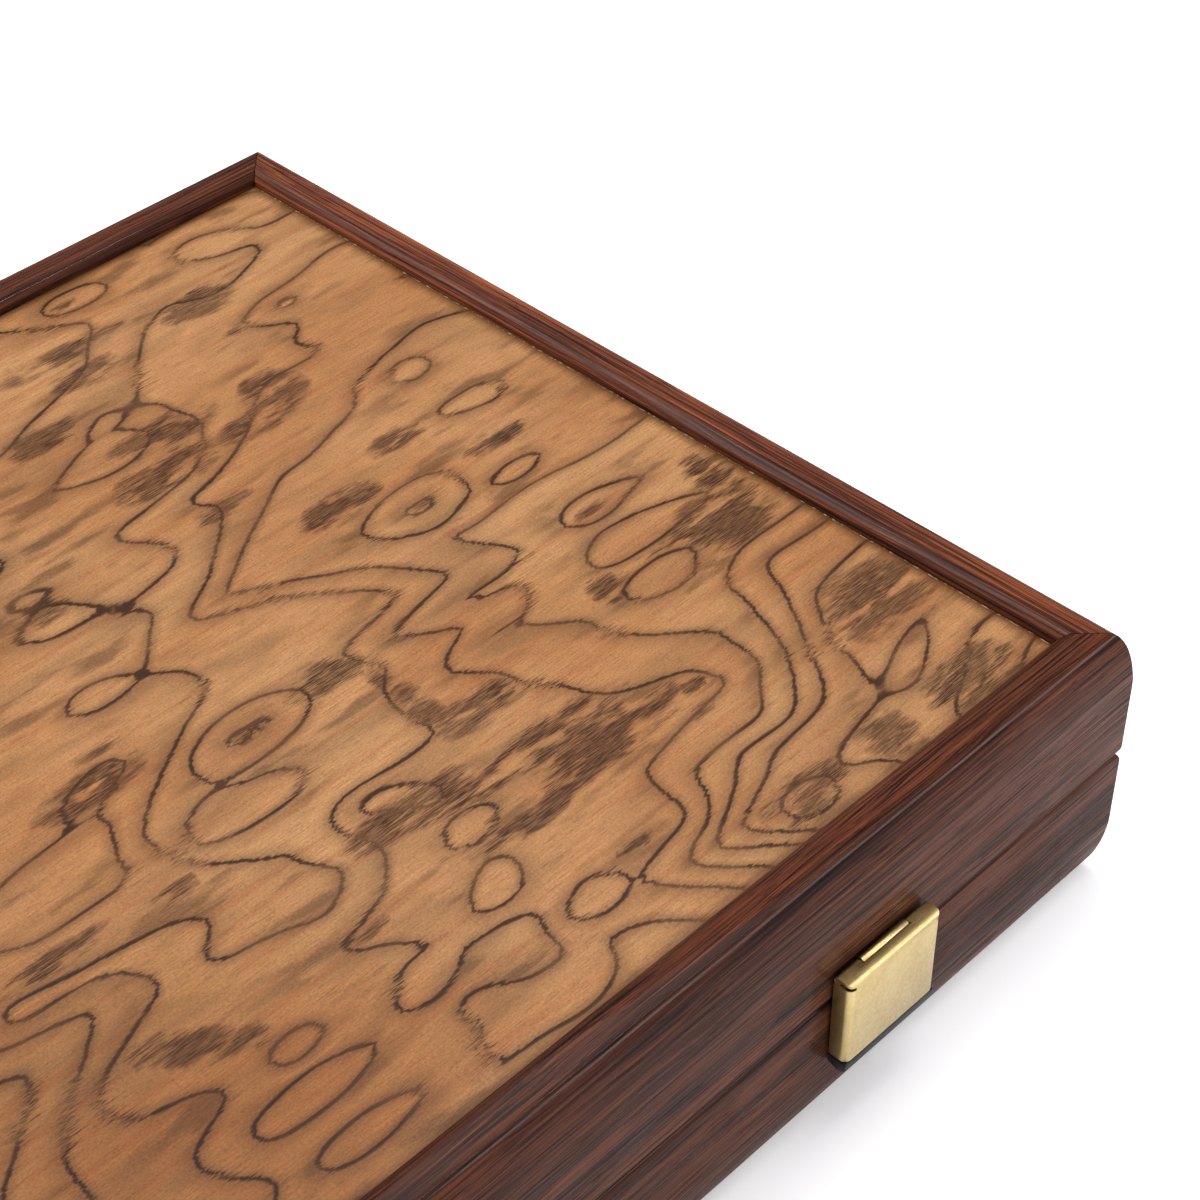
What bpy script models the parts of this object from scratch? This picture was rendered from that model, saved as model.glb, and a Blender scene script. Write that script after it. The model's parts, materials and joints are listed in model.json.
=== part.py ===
"""Folding backgammon case, closed, with its men and dice inside.

Two trays of moulded, mitred rails meet at a horizontal seam. Brass butt hinges join them at the
back and two brass snap latches hold them at the front. Each tray carries a veneered outer panel
and, behind it, half of the playing board. Opened flat, the two back rails become the bar.

Metres, +Z up. X runs along the hinge side, -Y is the latched front, and the table is Z = 0.
"""

import math

import bmesh
import bpy
from mathutils import Matrix, Vector

# Whole case
CASE_LENGTH = 0.480
CASE_DEPTH = 0.250
HALF_HEIGHT = 0.0308

# Clearances
SEAM_GAP = 0.0003
GLUE_GAP = 0.0001
SEAT_GAP = 0.0003
RUNNING_GAP = 0.00012
SIDE_GAP = 0.0003
CUT_OVERRUN = 0.003

# Moulded rails
RAIL_WIDTH = 0.011
SHOULDER_WIDTH = 0.0044
SHOULDER_HEIGHT = 0.0143
INNER_SLOPE_WIDTH = 0.0018
INNER_SLOPE_DROP = 0.0016
SEAM_ROUND_WIDTH = 0.0011
SEAM_ROUND_HEIGHT = 0.0018
INNER_BEVEL = 0.0008

# Boards held in the rails' grooves
PANEL_RECESS = 0.0016
PANEL_THICKNESS = 0.003
BOARD_THICKNESS = 0.003
GROOVE_DEPTH = 0.004

# Playing field
POINTS_PER_END = 6
POINT_EDGE_MARGIN = 0.002
POINT_SPACING_GAP = 0.002
POINT_TIP_GAP = 0.080
POINT_INLAY_DEPTH = 0.0005

# Men and dice
MEN_PER_POINT = 5
MAN_SIDE_ROOM = 0.0044
MAN_THICKNESS = 0.009
MAN_RIM_WIDTH = 0.0022
MAN_EDGE_ROUND = 0.0014
MAN_DISH_DEPTH = 0.0009
MAN_DISH_SLOPE = 0.0036
MAN_SPACING = 0.0006
MAN_ROW_START = 0.0025
DIE_SIZE = 0.012
DIE_ROUND = 0.0016
DIE_TURNS = (18, -31)

# Butt hinges
HINGE_INSET = 0.085
HINGE_LENGTH = 0.040
HINGE_AXIS_OUT = 0.0002
HINGE_LEAF_THICKNESS = 0.001
HINGE_LEAF_MARGIN = 0.0018
HINGE_KNUCKLE_RADIUS = 0.0022
HINGE_PIN_RADIUS = 0.0009
HINGE_KNUCKLES = 5
HINGE_SCREW_INSET = 0.0075
HINGE_SCREW_HEAD_RADIUS = 0.0019
HINGE_SCREW_HOLE_RADIUS = 0.0011

# Snap latches
LATCH_INSET = 0.0732
LATCH_WIDTH = 0.0246
LATCH_RISE = 0.0073
LATCH_DROP = 0.0131
LATCH_PROJECTION = 0.0043
LATCH_SHEET = 0.0006
LATCH_TOP_BEND = 0.0002
LATCH_SIDE_BEND = 0.0008
LATCH_CORNER_GAP = 0.0010
LATCH_PIN_RADIUS = 0.0004
LATCH_CURL_WALL = 0.00023
LATCH_KNUCKLE_WALL = 0.00043
LATCH_KNUCKLE_LENGTH = 0.0123
LATCH_PLATE_FOOT = 0.0008
CATCH_CLEARANCE = 0.0004
CATCH_LIP_HEIGHT = 0.0028
CATCH_LIP_RISE = 0.0009
CATCH_UNDERCUT = 0.0022
CATCH_LIP_ROUND = 0.0009
CATCH_TOP_DROP = 0.0035
CATCH_RIDGE = 0.00018
CATCH_RIDGE_HEIGHT = 0.0012
CATCH_RIDGE_DROP = 0.0015

# Facets
SHOULDER_STEPS = 12
SEAM_ROUND_STEPS = 3
KNUCKLE_STEPS = 18
BEND_STEPS = 5
MAN_SIDES = 20
SCREW_SIDES = 12
DIE_ROUND_STEPS = 2
SMOOTH_ANGLE = 35
WELD_DISTANCE = 0.000001

# Places worked out from the sizes above
seam_level = HALF_HEIGHT + SEAM_GAP / 2
hinge_reach = HINGE_AXIS_OUT + HINGE_KNUCKLE_RADIUS
case_y = (LATCH_PROJECTION - hinge_reach) / 2
front_face = case_y - CASE_DEPTH / 2
back_face = case_y + CASE_DEPTH / 2
hinge_axis = Vector((0, back_face + HINGE_AXIS_OUT, seam_level))
panel_top = HALF_HEIGHT - INNER_SLOPE_DROP - PANEL_RECESS
board_back = panel_top - PANEL_THICKNESS - GLUE_GAP
board_face = board_back - BOARD_THICKNESS
field_half_length = CASE_LENGTH / 2 - RAIL_WIDTH
field_half_depth = CASE_DEPTH / 2 - RAIL_WIDTH
point_pitch = 2 * field_half_depth / POINTS_PER_END
man_radius = (point_pitch - MAN_SIDE_ROOM) / 2
man_pitch = 2 * man_radius + MAN_SPACING
point_length = field_half_length - POINT_EDGE_MARGIN - POINT_TIP_GAP / 2
latch_bore = LATCH_PIN_RADIUS + RUNNING_GAP
curl_radius = latch_bore + LATCH_CURL_WALL
latch_knuckle_radius = latch_bore + LATCH_KNUCKLE_WALL
latch_top = seam_level + LATCH_RISE
latch_bottom = seam_level - LATCH_DROP
latch_axis_out = GLUE_GAP + latch_knuckle_radius
latch_axis = Vector((0, front_face - latch_axis_out, latch_top - curl_radius))

# Permutation that stands a drawn section up: drawn x and y become Y and Z, its thickness X
ALONG_X = Matrix(((0, 0, 1, 0), (1, 0, 0, 0), (0, 1, 0, 0), (0, 0, 0, 1)))
# The base is the lid's frame turned over about X
TURNED_OVER = Matrix.Rotation(math.pi, 4, "X")


def clear_scene():
    for obj in list(bpy.data.objects):
        bpy.data.objects.remove(obj, do_unlink=True)
    for collection in list(bpy.data.collections):
        bpy.data.collections.remove(collection)


def new_collection(name):
    collection = bpy.data.collections.new(name)
    bpy.context.scene.collection.children.link(collection)
    return collection


def new_material(name, colour, roughness, metallic=0.0):
    material = bpy.data.materials.new(name)
    material.use_nodes = True
    shader = material.node_tree.nodes["Principled BSDF"]
    shader.inputs["Base Color"].default_value = (*colour, 1.0)
    shader.inputs["Roughness"].default_value = roughness
    shader.inputs["Metallic"].default_value = metallic
    return material


def add_object(name, mesh, material, matrix=Matrix()):
    """Links a mesh as one part, with the material named like its look."""
    obj = bpy.data.objects.new(name, mesh)
    parts.objects.link(obj)
    mesh.materials.clear()
    mesh.materials.append(material)
    obj.matrix_world = matrix
    return obj


def add_cutter(obj):
    cutters.objects.link(obj)
    obj.hide_render = True
    obj.display_type = "WIRE"
    return obj


def boolean(obj, other, operation):
    modifier = obj.modifiers.new(f"{operation.lower()} {other.name}", "BOOLEAN")
    modifier.operation = operation
    modifier.solver = "EXACT"
    modifier.object = other


def plain_mesh(obj):
    """Mesh of an object that has no modifiers. The object is removed."""
    mesh = obj.data
    bpy.data.objects.remove(obj, do_unlink=True)
    return mesh


def finished_mesh(obj, tools=()):
    """Mesh of an object with its modifiers applied. The object and its tools are removed."""
    bpy.context.view_layer.update()
    evaluated = obj.evaluated_get(bpy.context.evaluated_depsgraph_get())
    mesh = bpy.data.meshes.new_from_object(evaluated)
    for spent in (obj, *tools):
        bpy.data.objects.remove(spent, do_unlink=True)
    return mesh


def drawn_solid(name, outlines, thickness, matrix=ALONG_X):
    """A flat closed outline, with any holes after it, extruded by the thickness about its middle."""
    curve = bpy.data.curves.new(name, "CURVE")
    curve.dimensions = "2D"
    curve.fill_mode = "BOTH"
    curve.extrude = thickness / 2
    for outline in outlines:
        spline = curve.splines.new("POLY")
        spline.points.add(len(outline) - 1)
        for point, place in zip(spline.points, outline):
            point.co = (*place, 0, 1)
        spline.use_cyclic_u = True
    drawing = bpy.data.objects.new(name, curve)
    parts.objects.link(drawing)
    mesh = finished_mesh(drawing)
    bpy.data.curves.remove(curve)
    tidy = bmesh.new()
    tidy.from_mesh(mesh)
    bmesh.ops.remove_doubles(tidy, verts=tidy.verts, dist=WELD_DISTANCE)
    bmesh.ops.recalc_face_normals(tidy, faces=tidy.faces)
    tidy.to_mesh(mesh)
    tidy.free()
    mesh.transform(matrix)
    mesh.update()
    solid = bpy.data.objects.new(name, mesh)
    parts.objects.link(solid)
    return solid


def box(name, low, high):
    """A box between two corners, its scale applied."""
    bpy.ops.mesh.primitive_cube_add(size=1)
    obj = bpy.context.object
    obj.name = name
    size = Vector(high) - Vector(low)
    middle = (Vector(high) + Vector(low)) / 2
    obj.data.transform(Matrix.Translation(middle) @ Matrix.Diagonal((*size, 1)))
    bpy.context.collection.objects.unlink(obj)
    return obj


def smooth_by_angle(mesh):
    mesh.shade_smooth()
    mesh.set_sharp_from_angle(angle=math.radians(SMOOTH_ANGLE))


def arc(centre, radii, start, end, steps):
    """Points of an elliptical arc from one angle to another, in degrees."""
    turn = math.radians(end - start) / steps
    first = math.radians(start)
    return [
        (
            centre[0] + radii[0] * math.cos(first + turn * step),
            centre[1] + radii[1] * math.sin(first + turn * step),
        )
        for step in range(steps + 1)
    ]


def knuckle_outline(radius, low, high, reach):
    """A strap from the left that wraps round the origin: its faces lie at low and high."""
    start = 180 + math.degrees(math.asin(-low / radius))
    end = 540 - math.degrees(math.asin(high / radius))
    wrap = arc((0, 0), (radius, radius), start, end, KNUCKLE_STEPS)
    return [(-reach, low), *wrap, (-reach, high)]


def circle_outline(radius):
    return arc((0, 0), (radius, radius), 0, 360, KNUCKLE_STEPS)[:-1]


def rail_outline():
    """Section of a rail: first value inwards from the outer face, second up from the seam."""
    groove_low = board_face - GLUE_GAP
    groove_high = panel_top + GLUE_GAP
    groove_wall = RAIL_WIDTH - GROOVE_DEPTH
    arris = HALF_HEIGHT - INNER_SLOPE_DROP
    seam_round = arc(
        (SEAM_ROUND_WIDTH, SEAM_ROUND_HEIGHT),
        (SEAM_ROUND_WIDTH, SEAM_ROUND_HEIGHT),
        270,
        180,
        SEAM_ROUND_STEPS,
    )
    shoulder = arc(
        (SHOULDER_WIDTH, HALF_HEIGHT - SHOULDER_HEIGHT),
        (SHOULDER_WIDTH, SHOULDER_HEIGHT),
        180,
        90,
        SHOULDER_STEPS,
    )
    return [
        *seam_round,
        *shoulder,
        (RAIL_WIDTH - INNER_SLOPE_WIDTH, HALF_HEIGHT),
        (RAIL_WIDTH, arris),
        (RAIL_WIDTH, groove_high),
        (groove_wall, groove_high),
        (groove_wall, groove_low),
        (RAIL_WIDTH, groove_low),
        (RAIL_WIDTH, INNER_BEVEL),
        (RAIL_WIDTH - INNER_BEVEL, 0),
    ]


def rail_mesh(length):
    """One rail along X, its outer face at Y = 0 and its seam at Z = 0, mitred at both ends."""
    mesh = plain_mesh(drawn_solid("rail", [rail_outline()], length))
    setback = GLUE_GAP / math.sqrt(2)
    for vertex in mesh.vertices:
        vertex.co.x = math.copysign(length / 2 - vertex.co.y - setback, vertex.co.x)
    mesh.update()
    smooth_by_angle(mesh)
    return mesh


def tray_matrix(half):
    """Frame of a tray: its seam at Z = 0, Z growing towards its outer panel."""
    if half == "lid":
        return Matrix.Translation((0, case_y, seam_level + SEAM_GAP / 2))
    return Matrix.Translation((0, case_y, seam_level - SEAM_GAP / 2)) @ TURNED_OVER


def add_rails(half):
    long_rail = rail_mesh(CASE_LENGTH)
    short_rail = rail_mesh(CASE_DEPTH)
    front, back = ("front", "back") if half == "lid" else ("back", "front")
    sides = (
        (front, long_rail, CASE_DEPTH, 0),
        ("right", short_rail, CASE_LENGTH, 90),
        (back, long_rail, CASE_DEPTH, 180),
        ("left", short_rail, CASE_LENGTH, 270),
    )
    rails = {}
    for side, mesh, across, degrees in sides:
        turn = Matrix.Rotation(math.radians(degrees), 4, "Z")
        place = tray_matrix(half) @ turn @ Matrix.Translation((0, -across / 2, 0))
        rails[side] = add_object(f"{half}_{side}_rail", mesh, dark_wood, place)
    return rails


def add_panel(half):
    """The outer panel, a veneered board whose edges stand in the grooves."""
    x = field_half_length + GROOVE_DEPTH - GLUE_GAP
    y = field_half_depth + GROOVE_DEPTH - GLUE_GAP
    panel = box("panel", (-x, -y, panel_top - PANEL_THICKNESS), (x, y, panel_top))
    return add_object(f"{half}_burl_panel", plain_mesh(panel), burl, tray_matrix(half))


def point_outline(side, row):
    """Plan of one point: a long triangle standing on a short edge of the field."""
    foot = side * (field_half_length - POINT_EDGE_MARGIN)
    middle = -field_half_depth + point_pitch * (row + 1 / 2)
    half_width = (point_pitch - POINT_SPACING_GAP) / 2
    tip = foot - side * point_length
    return [(foot, middle - half_width), (foot, middle + half_width), (tip, middle)]


def add_board(half):
    """Half of the playing board, with a shallow pocket for the inlay of each point."""
    x = field_half_length + GROOVE_DEPTH - GLUE_GAP
    y = field_half_depth + GROOVE_DEPTH - GLUE_GAP
    blank = plain_mesh(box("board", (-x, -y, board_face), (x, y, board_back)))
    board = add_object(f"{half}_playing_board", blank, board_wood, tray_matrix(half))
    depth = 2 * POINT_INLAY_DEPTH
    level = Matrix.Translation((0, 0, board_face))
    for side in (-1, 1):
        for row in range(POINTS_PER_END):
            cutter = drawn_solid(f"{half} point {side} {row}", [point_outline(side, row)], depth, level)
            parts.objects.unlink(cutter)
            add_cutter(cutter)
            cutter.matrix_world = tray_matrix(half)
            boolean(board, cutter, "DIFFERENCE")
    return board


def leaf_levels(side):
    """Lower and upper face of a hinge leaf, counted from the axis: side is -1 in the base, 1 in the lid."""
    near = SEAM_GAP / 2
    far = near + HINGE_LEAF_THICKNESS
    return (near, far) if side > 0 else (-far, -near)


def leaf_mesh(side):
    """One leaf of a butt hinge, about the middle of its axis, lying towards -Y in its rail."""
    low, high = leaf_levels(side)
    barrel_room = HINGE_KNUCKLE_RADIUS + SIDE_GAP
    reach = RAIL_WIDTH + HINGE_AXIS_OUT - HINGE_LEAF_MARGIN
    half = HINGE_LENGTH / 2
    leaf = box("leaf", (-half, -reach, low), (half, -barrel_room, high))
    parts.objects.link(leaf)
    section = [
        knuckle_outline(HINGE_KNUCKLE_RADIUS, low, high, barrel_room + HINGE_LEAF_THICKNESS),
        circle_outline(HINGE_PIN_RADIUS + RUNNING_GAP),
    ]
    share = HINGE_LENGTH / HINGE_KNUCKLES
    tools = []
    for index in range(0 if side < 0 else 1, HINGE_KNUCKLES, 2):
        knuckle = drawn_solid(f"knuckle {index}", section, share - SIDE_GAP)
        knuckle.location.x = share * (index + 1 / 2) - half
        boolean(leaf, knuckle, "UNION")
        tools.append(knuckle)
    screw_y = -(reach + barrel_room) / 2
    for x in (HINGE_SCREW_INSET - half, half - HINGE_SCREW_INSET):
        radii = (HINGE_SCREW_HEAD_RADIUS, HINGE_SCREW_HOLE_RADIUS)
        upper, lower = radii if side < 0 else radii[::-1]
        bpy.ops.mesh.primitive_cone_add(
            vertices=SCREW_SIDES,
            radius1=lower,
            radius2=upper,
            depth=HINGE_LEAF_THICKNESS + SEAT_GAP,
            location=(x, screw_y, (low + high) / 2),
        )
        hole = bpy.context.object
        boolean(leaf, hole, "DIFFERENCE")
        tools.append(hole)
    mesh = finished_mesh(leaf, tools)
    smooth_by_angle(mesh)
    return mesh


def pin_mesh(radius, length, sides):
    """A round pin along X about its middle."""
    bpy.ops.mesh.primitive_cylinder_add(
        vertices=sides, radius=radius, depth=length, rotation=(0, math.pi / 2, 0)
    )
    pin = bpy.context.object
    pin.data.transform(pin.rotation_euler.to_matrix().to_4x4())
    mesh = plain_mesh(pin)
    smooth_by_angle(mesh)
    return mesh


def cut_for_hinge(rails, x, name):
    """Lets a hinge into the back rails: a pocket for both leaves and a round channel for the barrel."""
    half = HINGE_LENGTH / 2 + SIDE_GAP
    depth = SEAM_GAP / 2 + HINGE_LEAF_THICKNESS + GLUE_GAP
    reach = RAIL_WIDTH + HINGE_AXIS_OUT - HINGE_LEAF_MARGIN + GLUE_GAP
    pocket = add_cutter(box(f"{name} pocket", (-half, -reach, -depth), (half, 0, depth)))
    channel = bpy.data.objects.new(
        f"{name} channel", pin_mesh(HINGE_KNUCKLE_RADIUS + SIDE_GAP, 2 * half, KNUCKLE_STEPS)
    )
    add_cutter(channel)
    for cutter in (pocket, channel):
        cutter.location = hinge_axis + Vector((x, 0, 0))
        for rail in rails:
            boolean(rail, cutter, "DIFFERENCE")


def add_hinges(back_rails):
    base_leaf = leaf_mesh(-1)
    lid_leaf = leaf_mesh(1)
    pin = pin_mesh(HINGE_PIN_RADIUS, HINGE_LENGTH - SIDE_GAP, KNUCKLE_STEPS)
    lid_leaves = []
    for side, word in ((-1, "left"), (1, "right")):
        x = side * (CASE_LENGTH / 2 - HINGE_INSET)
        place = Matrix.Translation(hinge_axis + Vector((x, 0, 0)))
        add_object(f"hinge_{word}_base_leaf", base_leaf, brass, place)
        lid_leaves.append(add_object(f"hinge_{word}_lid_leaf", lid_leaf, brass, place))
        add_object(f"hinge_{word}_pin", pin, brass, place)
        cut_for_hinge(back_rails, x, f"hinge {word}")
    return lid_leaves


def latch_cover_mesh():
    """Folded sheet cover about the middle of its pin: front plate, top flange with a curl, two sides."""
    half = LATCH_WIDTH / 2
    front = -(LATCH_PROJECTION - latch_axis_out)
    top = curl_radius
    bottom = top - LATCH_RISE - LATCH_DROP
    bend = LATCH_TOP_BEND + LATCH_SHEET
    side_bend = LATCH_SIDE_BEND + LATCH_SHEET
    corner = (front + bend, top - bend)
    wall_back = latch_axis_out - SEAT_GAP
    side_top = top - max(bend, LATCH_SHEET + LATCH_CORNER_GAP)
    lap = side_top - LATCH_SHEET
    curl = knuckle_outline(curl_radius, top - LATCH_SHEET, top, 0)[1:-1]
    top_section = [
        (front, lap),
        *arc(corner, (bend, bend), 180, 90, BEND_STEPS),
        *reversed(curl),
        *arc(corner, (LATCH_TOP_BEND, LATCH_TOP_BEND), 90, 180, BEND_STEPS),
        (front + LATCH_SHEET, lap),
    ]
    cover = drawn_solid("cover", [top_section, circle_outline(latch_bore)], LATCH_WIDTH)
    outer, inner = (side_bend, side_bend), (LATCH_SIDE_BEND, LATCH_SIDE_BEND)
    near, far = (front + side_bend, -half + side_bend), (front + side_bend, half - side_bend)
    plan = [
        (wall_back, -half),
        *arc(near, outer, 270, 180, BEND_STEPS),
        *arc(far, outer, 180, 90, BEND_STEPS),
        (wall_back, half),
        (wall_back, half - LATCH_SHEET),
        *arc(far, inner, 90, 180, BEND_STEPS),
        *arc(near, inner, 180, 270, BEND_STEPS),
        (wall_back, -half + LATCH_SHEET),
    ]
    # Drawn x and y of the plan become Y and X, its thickness Z
    upright = Matrix(((0, 1, 0, 0), (1, 0, 0, 0), (0, 0, -1, (side_top + bottom) / 2), (0, 0, 0, 1)))
    walls = drawn_solid("cover walls", [plan], side_top - bottom, upright)
    notch_half = LATCH_KNUCKLE_LENGTH / 2 + SIDE_GAP
    notch_front = -(latch_knuckle_radius + RUNNING_GAP)
    past_curl = curl_radius + CUT_OVERRUN
    notch = box("notch", (-notch_half, notch_front, -past_curl), (notch_half, past_curl, past_curl))
    parts.objects.link(notch)
    # Below the top bend the flange's ends stop where the rounded corners of the walls begin
    corner_cuts = []
    for side in (-1, 1):
        ends = sorted((side * (half - side_bend), side * (half + CUT_OVERRUN)))
        low = (ends[0], front - CUT_OVERRUN, lap - CUT_OVERRUN)
        high = (ends[1], front + LATCH_SHEET + LATCH_TOP_BEND, top - bend)
        corner_cuts.append(box(f"corner cut {side}", low, high))
        parts.objects.link(corner_cuts[-1])
        boolean(cover, corner_cuts[-1], "DIFFERENCE")
    boolean(cover, walls, "UNION")
    boolean(cover, notch, "DIFFERENCE")
    mesh = finished_mesh(cover, (walls, notch, *corner_cuts))
    smooth_by_angle(mesh)
    return mesh


def latch_plate_mesh():
    """Hinge plate of a latch, screwed to the lid, with the middle knuckle rolled from its tongue."""
    radius = latch_knuckle_radius
    foot = LATCH_RISE - curl_radius - SEAM_GAP / 2 - LATCH_PLATE_FOOT
    shoulder = max(curl_radius, radius) + SIDE_GAP
    # The strap of a knuckle outline points along -X: turned, it hangs down behind the pin
    hang = Matrix(((0, 0, -1, 0), (0, 1, 0, 0), (1, 0, 0, 0), (0, 0, 0, 1)))
    section = [
        knuckle_outline(radius, radius - LATCH_SHEET, radius, foot),
        circle_outline(latch_bore),
    ]
    plate = drawn_solid("latch plate", section, LATCH_KNUCKLE_LENGTH, hang)
    half = LATCH_WIDTH / 2 - LATCH_SHEET - 2 * SIDE_GAP
    wings = box("latch wings", (-half, radius - LATCH_SHEET, -foot), (half, radius, -shoulder))
    parts.objects.link(wings)
    boolean(plate, wings, "UNION")
    mesh = finished_mesh(plate, (wings,))
    smooth_by_angle(mesh)
    return mesh


def catch_mesh():
    """Catch on the base, about the case's front face and the bottom edge of the closed cover."""
    inner_face = LATCH_PROJECTION - LATCH_SHEET - CATCH_CLEARANCE
    top = LATCH_DROP - CATCH_TOP_DROP
    ridge_middle = top - CATCH_RIDGE_DROP - CATCH_RIDGE_HEIGHT / 2
    tongue_outline = [
        (-GLUE_GAP, -CATCH_LIP_HEIGHT / 2),
        (-GLUE_GAP, top),
        (-inner_face + CATCH_LIP_ROUND, top),
        (-inner_face, top - CATCH_LIP_ROUND),
        (-inner_face, ridge_middle + CATCH_RIDGE_HEIGHT / 2),
        (-inner_face - CATCH_RIDGE, ridge_middle),
        (-inner_face, ridge_middle - CATCH_RIDGE_HEIGHT / 2),
        (-inner_face, -CATCH_LIP_HEIGHT / 2),
    ]
    lip_top = -SEAT_GAP
    lip_low = lip_top - CATCH_LIP_HEIGHT
    lip_outline = [
        (-GLUE_GAP, lip_top),
        (-LATCH_PROJECTION, lip_top),
        (-LATCH_PROJECTION, lip_low + CATCH_LIP_ROUND),
        (-LATCH_PROJECTION + CATCH_LIP_ROUND, lip_low),
        (-GLUE_GAP - CATCH_UNDERCUT, lip_low),
        (-GLUE_GAP, lip_low + CATCH_LIP_RISE),
    ]
    width = LATCH_WIDTH - 2 * (LATCH_SHEET + CATCH_CLEARANCE)
    tongue = drawn_solid("catch tongue", [tongue_outline], width)
    lip = drawn_solid("catch lip", [lip_outline], LATCH_WIDTH)
    boolean(tongue, lip, "UNION")
    return finished_mesh(tongue, (lip,))


def add_latches():
    """Both latches. Returns the pieces that the lid carries and, for each cover, its pivot."""
    cover = latch_cover_mesh()
    plate = latch_plate_mesh()
    pin = pin_mesh(LATCH_PIN_RADIUS, LATCH_WIDTH - 2 * LATCH_SHEET, KNUCKLE_STEPS)
    catch = catch_mesh()
    carried, covers = [], []
    for side, word in ((-1, "left"), (1, "right")):
        x = side * (CASE_LENGTH / 2 - LATCH_INSET)
        at_pin = Matrix.Translation(latch_axis + Vector((x, 0, 0)))
        at_catch = Matrix.Translation((x, front_face, latch_bottom))
        covers.append(add_object(f"latch_{word}_cover", cover, brass, at_pin))
        carried.append(add_object(f"latch_{word}_hinge_plate", plate, brass, at_pin))
        carried.append(add_object(f"latch_{word}_pin", pin, brass, at_pin))
        add_object(f"latch_{word}_catch", catch, black, at_catch)
    return carried, covers


def man_mesh():
    """A playing man: a turned disc with a rounded edge, a rim and a shallow dish on both faces."""
    half = MAN_THICKNESS / 2
    rim = man_radius - MAN_EDGE_ROUND
    dish_edge = rim - MAN_RIM_WIDTH
    floor = half - MAN_DISH_DEPTH
    upper = [
        (0, floor),
        (dish_edge - MAN_DISH_SLOPE, floor),
        (rim, half),
        (man_radius, half - MAN_EDGE_ROUND),
    ]
    profile = upper + [(x, -z) for x, z in reversed(upper)]
    mesh = bpy.data.meshes.new("man profile")
    outline = bmesh.new()
    vertices = [outline.verts.new((x, 0, z)) for x, z in profile]
    for first, second in zip(vertices, vertices[1:]):
        outline.edges.new((first, second))
    outline.to_mesh(mesh)
    outline.free()
    turned = bpy.data.objects.new("man", mesh)
    parts.objects.link(turned)
    screw = turned.modifiers.new("turned", "SCREW")
    screw.steps = screw.render_steps = MAN_SIDES
    screw.use_merge_vertices = True
    screw.merge_threshold = WELD_DISTANCE
    mesh = finished_mesh(turned)
    smooth_by_angle(mesh)
    return mesh


def add_men():
    """Thirty men laid out five to a point on the left end of the base: three dark rows, three light."""
    mesh_dark = man_mesh()
    mesh_light = mesh_dark.copy()
    level = seam_level - SEAM_GAP / 2 - board_face + SEAT_GAP + MAN_THICKNESS / 2
    start = -field_half_length + MAN_ROW_START + man_radius
    for row in range(POINTS_PER_END):
        dark = row < POINTS_PER_END / 2
        word = "dark" if dark else "light"
        mesh = mesh_dark if dark else mesh_light
        wood = men_dark if dark else men_light
        y = case_y - field_half_depth + point_pitch * (row + 1 / 2)
        for index in range(MEN_PER_POINT):
            number = (row % (POINTS_PER_END // 2)) * MEN_PER_POINT + index + 1
            place = Matrix.Translation((start + man_pitch * index, y, level))
            add_object(f"man_{word}_{number:02d}", mesh, wood, place)


def add_dice():
    """Two dice on the field beside the rows of men."""
    half = DIE_SIZE / 2
    blank = box("die", (-half, -half, -half), (half, half, half))
    parts.objects.link(blank)
    bevel = blank.modifiers.new("rounded", "BEVEL")
    bevel.width = DIE_ROUND
    bevel.segments = DIE_ROUND_STEPS
    mesh = finished_mesh(blank)
    smooth_by_angle(mesh)
    x = -field_half_length + MAN_ROW_START + MEN_PER_POINT * man_pitch + DIE_SIZE
    level = seam_level - SEAM_GAP / 2 - board_face + SEAT_GAP + half
    for number, (side, degrees) in enumerate(zip((-1, 1), DIE_TURNS), start=1):
        turn = Matrix.Rotation(math.radians(degrees), 4, "Z")
        place = Matrix.Translation((x, case_y + side * DIE_SIZE, level)) @ turn
        add_object(f"die_{number}", mesh, ivory, place)


def add_pivot(name, place, children):
    """An empty on a joint's axis that carries the pieces that turn about it."""
    pivot = bpy.data.objects.new(name, None)
    parts.objects.link(pivot)
    pivot.location = place
    bpy.context.view_layer.update()
    for child in children:
        child.parent = pivot
        child.matrix_parent_inverse = pivot.matrix_world.inverted()
    return pivot


def build():
    lid_rails = add_rails("lid")
    base_rails = add_rails("base")
    lid_pieces = [*lid_rails.values(), add_panel("lid"), add_board("lid")]
    add_panel("base")
    add_board("base")
    lid_pieces += add_hinges([lid_rails["back"], base_rails["back"]])
    carried, covers = add_latches()
    lid_pieces += carried
    add_men()
    add_dice()
    lid_pivot = add_pivot("lid_pivot", hinge_axis, lid_pieces)
    for cover in covers:
        pivot_place = cover.matrix_world.translation.copy()
        pivot = add_pivot(f"{cover.name}_pivot", pivot_place, [cover])
        pivot.parent = lid_pivot
        pivot.matrix_parent_inverse = lid_pivot.matrix_world.inverted()


clear_scene()
parts = new_collection("backgammon_case")
cutters = new_collection("cutters")
dark_wood = new_material("dark wood", (0.075, 0.033, 0.022), 0.42)
burl = new_material("burl veneer", (0.52, 0.28, 0.13), 0.38)
board_wood = new_material("board veneer", (0.42, 0.24, 0.12), 0.45)
brass = new_material("brass", (0.72, 0.53, 0.26), 0.3, 1.0)
black = new_material("blackened metal", (0.02, 0.02, 0.022), 0.5)
men_dark = new_material("dark men", (0.06, 0.03, 0.02), 0.35)
men_light = new_material("light men", (0.62, 0.43, 0.24), 0.38)
ivory = new_material("ivory dice", (0.82, 0.76, 0.64), 0.3)
build()
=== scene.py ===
import json
import math
import random

import bmesh
import bpy
import numpy as np
from mathutils import Matrix, Vector
from mathutils import noise as perlin

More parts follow.
